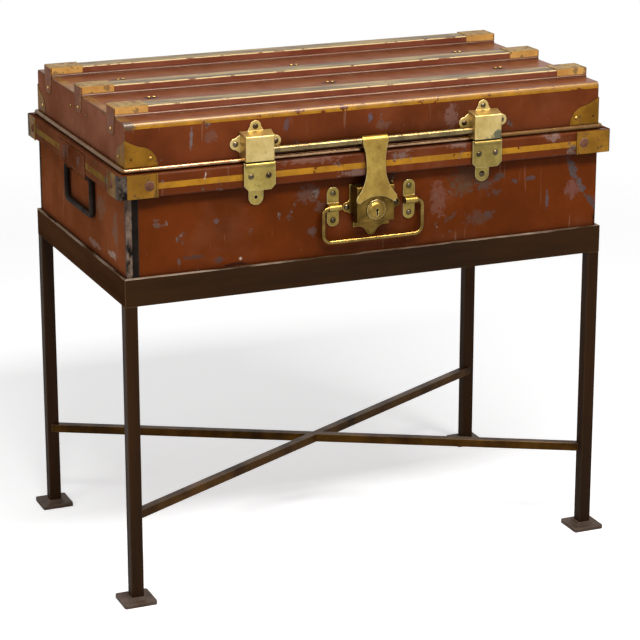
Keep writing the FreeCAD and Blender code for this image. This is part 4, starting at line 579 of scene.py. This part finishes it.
def make_floor():
    """A white paper floor that keeps the object's shadow."""
    mesh = bpy.data.meshes.new("studio_floor")
    shape = bmesh.new()
    bmesh.ops.create_circle(shape, cap_ends=True, radius=FLOOR_RADIUS, segments=128)
    shape.to_mesh(mesh)
    shape.free()
    floor = bpy.data.objects.new("studio_floor", mesh)
    bpy.context.scene.collection.objects.link(floor)
    material, tree = new_material("white_paper_sweep")
    place = add(tree, "TexCoord", out="Object")
    far = add(tree, "VectorMath", {0: place}, out="Value", operation="LENGTH")
    fade = add(tree, "MapRange", {"Value": far, "From Min": FLOOR_FADE_START, "From Max": FLOOR_RADIUS},
               interpolation_type="SMOOTHSTEP")
    tooth = add(tree, "TexNoise", {"Vector": place, "Scale": per_metre(6)})
    white = add(tree, "Mix", {MASK: tooth, UNDER: linear("#f8f8f8"), OVER: linear("#fcfcfc")}, **COLOUR_MIX)
    paper = add(tree, "BsdfDiffuse", {"Color": white})
    seen = add(tree, "LightPath", out="Is Camera Ray")
    lift = add(tree, "Math", {0: seen, 1: FLOOR_LIFT}, operation="MULTIPLY")
    glow = add(tree, "Emission", {"Color": white, "Strength": lift})
    paper = add(tree, "AddShader", {0: paper, 1: glow})
    clear = add(tree, "BsdfTransparent")
    surface = add(tree, "MixShader", {0: fade, 1: paper, 2: clear})
    add(tree, "OutputMaterial", {"Surface": surface})
    mesh.materials.append(material)


def make_world():
    """A white world: full for the camera and reflections, low for the light that falls on things."""
    world = bpy.data.worlds.new("studio")
    bpy.context.scene.world = world
    world.use_nodes = True
    tree = world.node_tree
    tree.nodes.clear()
    rays = add(tree, "LightPath").node.outputs
    seen = add(tree, "Math", {0: rays["Is Camera Ray"], 1: rays["Is Glossy Ray"]}, operation="MAXIMUM")
    seen = add(tree, "Math", {0: seen, 1: rays["Is Transmission Ray"]}, operation="MAXIMUM")
    level = add(tree, "MapRange", {"Value": seen, "To Min": AMBIENT, "To Max": 1.0})
    sky = add(tree, "Background", {"Color": (1, 1, 1, 1), "Strength": level})
    add(tree, "OutputWorld", {"Surface": sky})


def make_lamp(name, place, aim, size, watts, tone="#ffffff", gloss_only=False):
    """A rectangular lamp that points at aim; gloss_only keeps it to highlights."""
    data = bpy.data.lights.new(name, "AREA")
    data.shape = "RECTANGLE"
    data.size = size[0]
    data.size_y = size[1]
    data.energy = watts
    data.color = linear(tone)[:3]
    lamp = bpy.data.objects.new(name, data)
    bpy.context.scene.collection.objects.link(lamp)
    lamp.location = place
    lamp.visible_diffuse = not gloss_only
    lamp.rotation_euler = (Vector(aim) - Vector(place)).to_track_quat("-Z", "Y").to_euler()


# The photograph's view, in metres, degrees and millimetres of lens: a long lens, a little above
# the lid and to the left of the front.
CAMERA_PLACE = (-1.3758, -3.2756, 1.4432)
CAMERA_YAW = 22.92
CAMERA_PITCH = 15.806
CAMERA_LENS = 131.37
CAMERA_SENSOR = 36
CAMERA_SHIFT = -0.1


def make_camera():
    """The camera at the photograph's view."""
    data = bpy.data.cameras.new("camera")
    data.lens = CAMERA_LENS
    data.sensor_width = CAMERA_SENSOR
    data.shift_y = CAMERA_SHIFT
    camera = bpy.data.objects.new("camera", data)
    bpy.context.scene.collection.objects.link(camera)
    camera.location = CAMERA_PLACE
    camera.rotation_euler = (math.radians(90 - CAMERA_PITCH), 0, math.radians(-CAMERA_YAW))
    bpy.context.scene.camera = camera


make_floor()
make_world()
make_lamp("overhead_strip", place=(0, -1.5, 2.35), aim=(0, -0.1, 0.6), size=(2.2, 0.4), watts=56)
make_lamp("highlight_strip", place=(0, -0.85, 2.4), aim=(0, -0.1, 0.6), size=(2.6, 0.14), watts=70,
          tone="#ffe0bc", gloss_only=True)
make_lamp("side_fill", place=(-2.9, -1.1, 1.6), aim=(0, 0, 0.5), size=(1.4, 1.4), watts=14)
make_camera()
bpy.context.scene.view_settings.view_transform = "Standard"
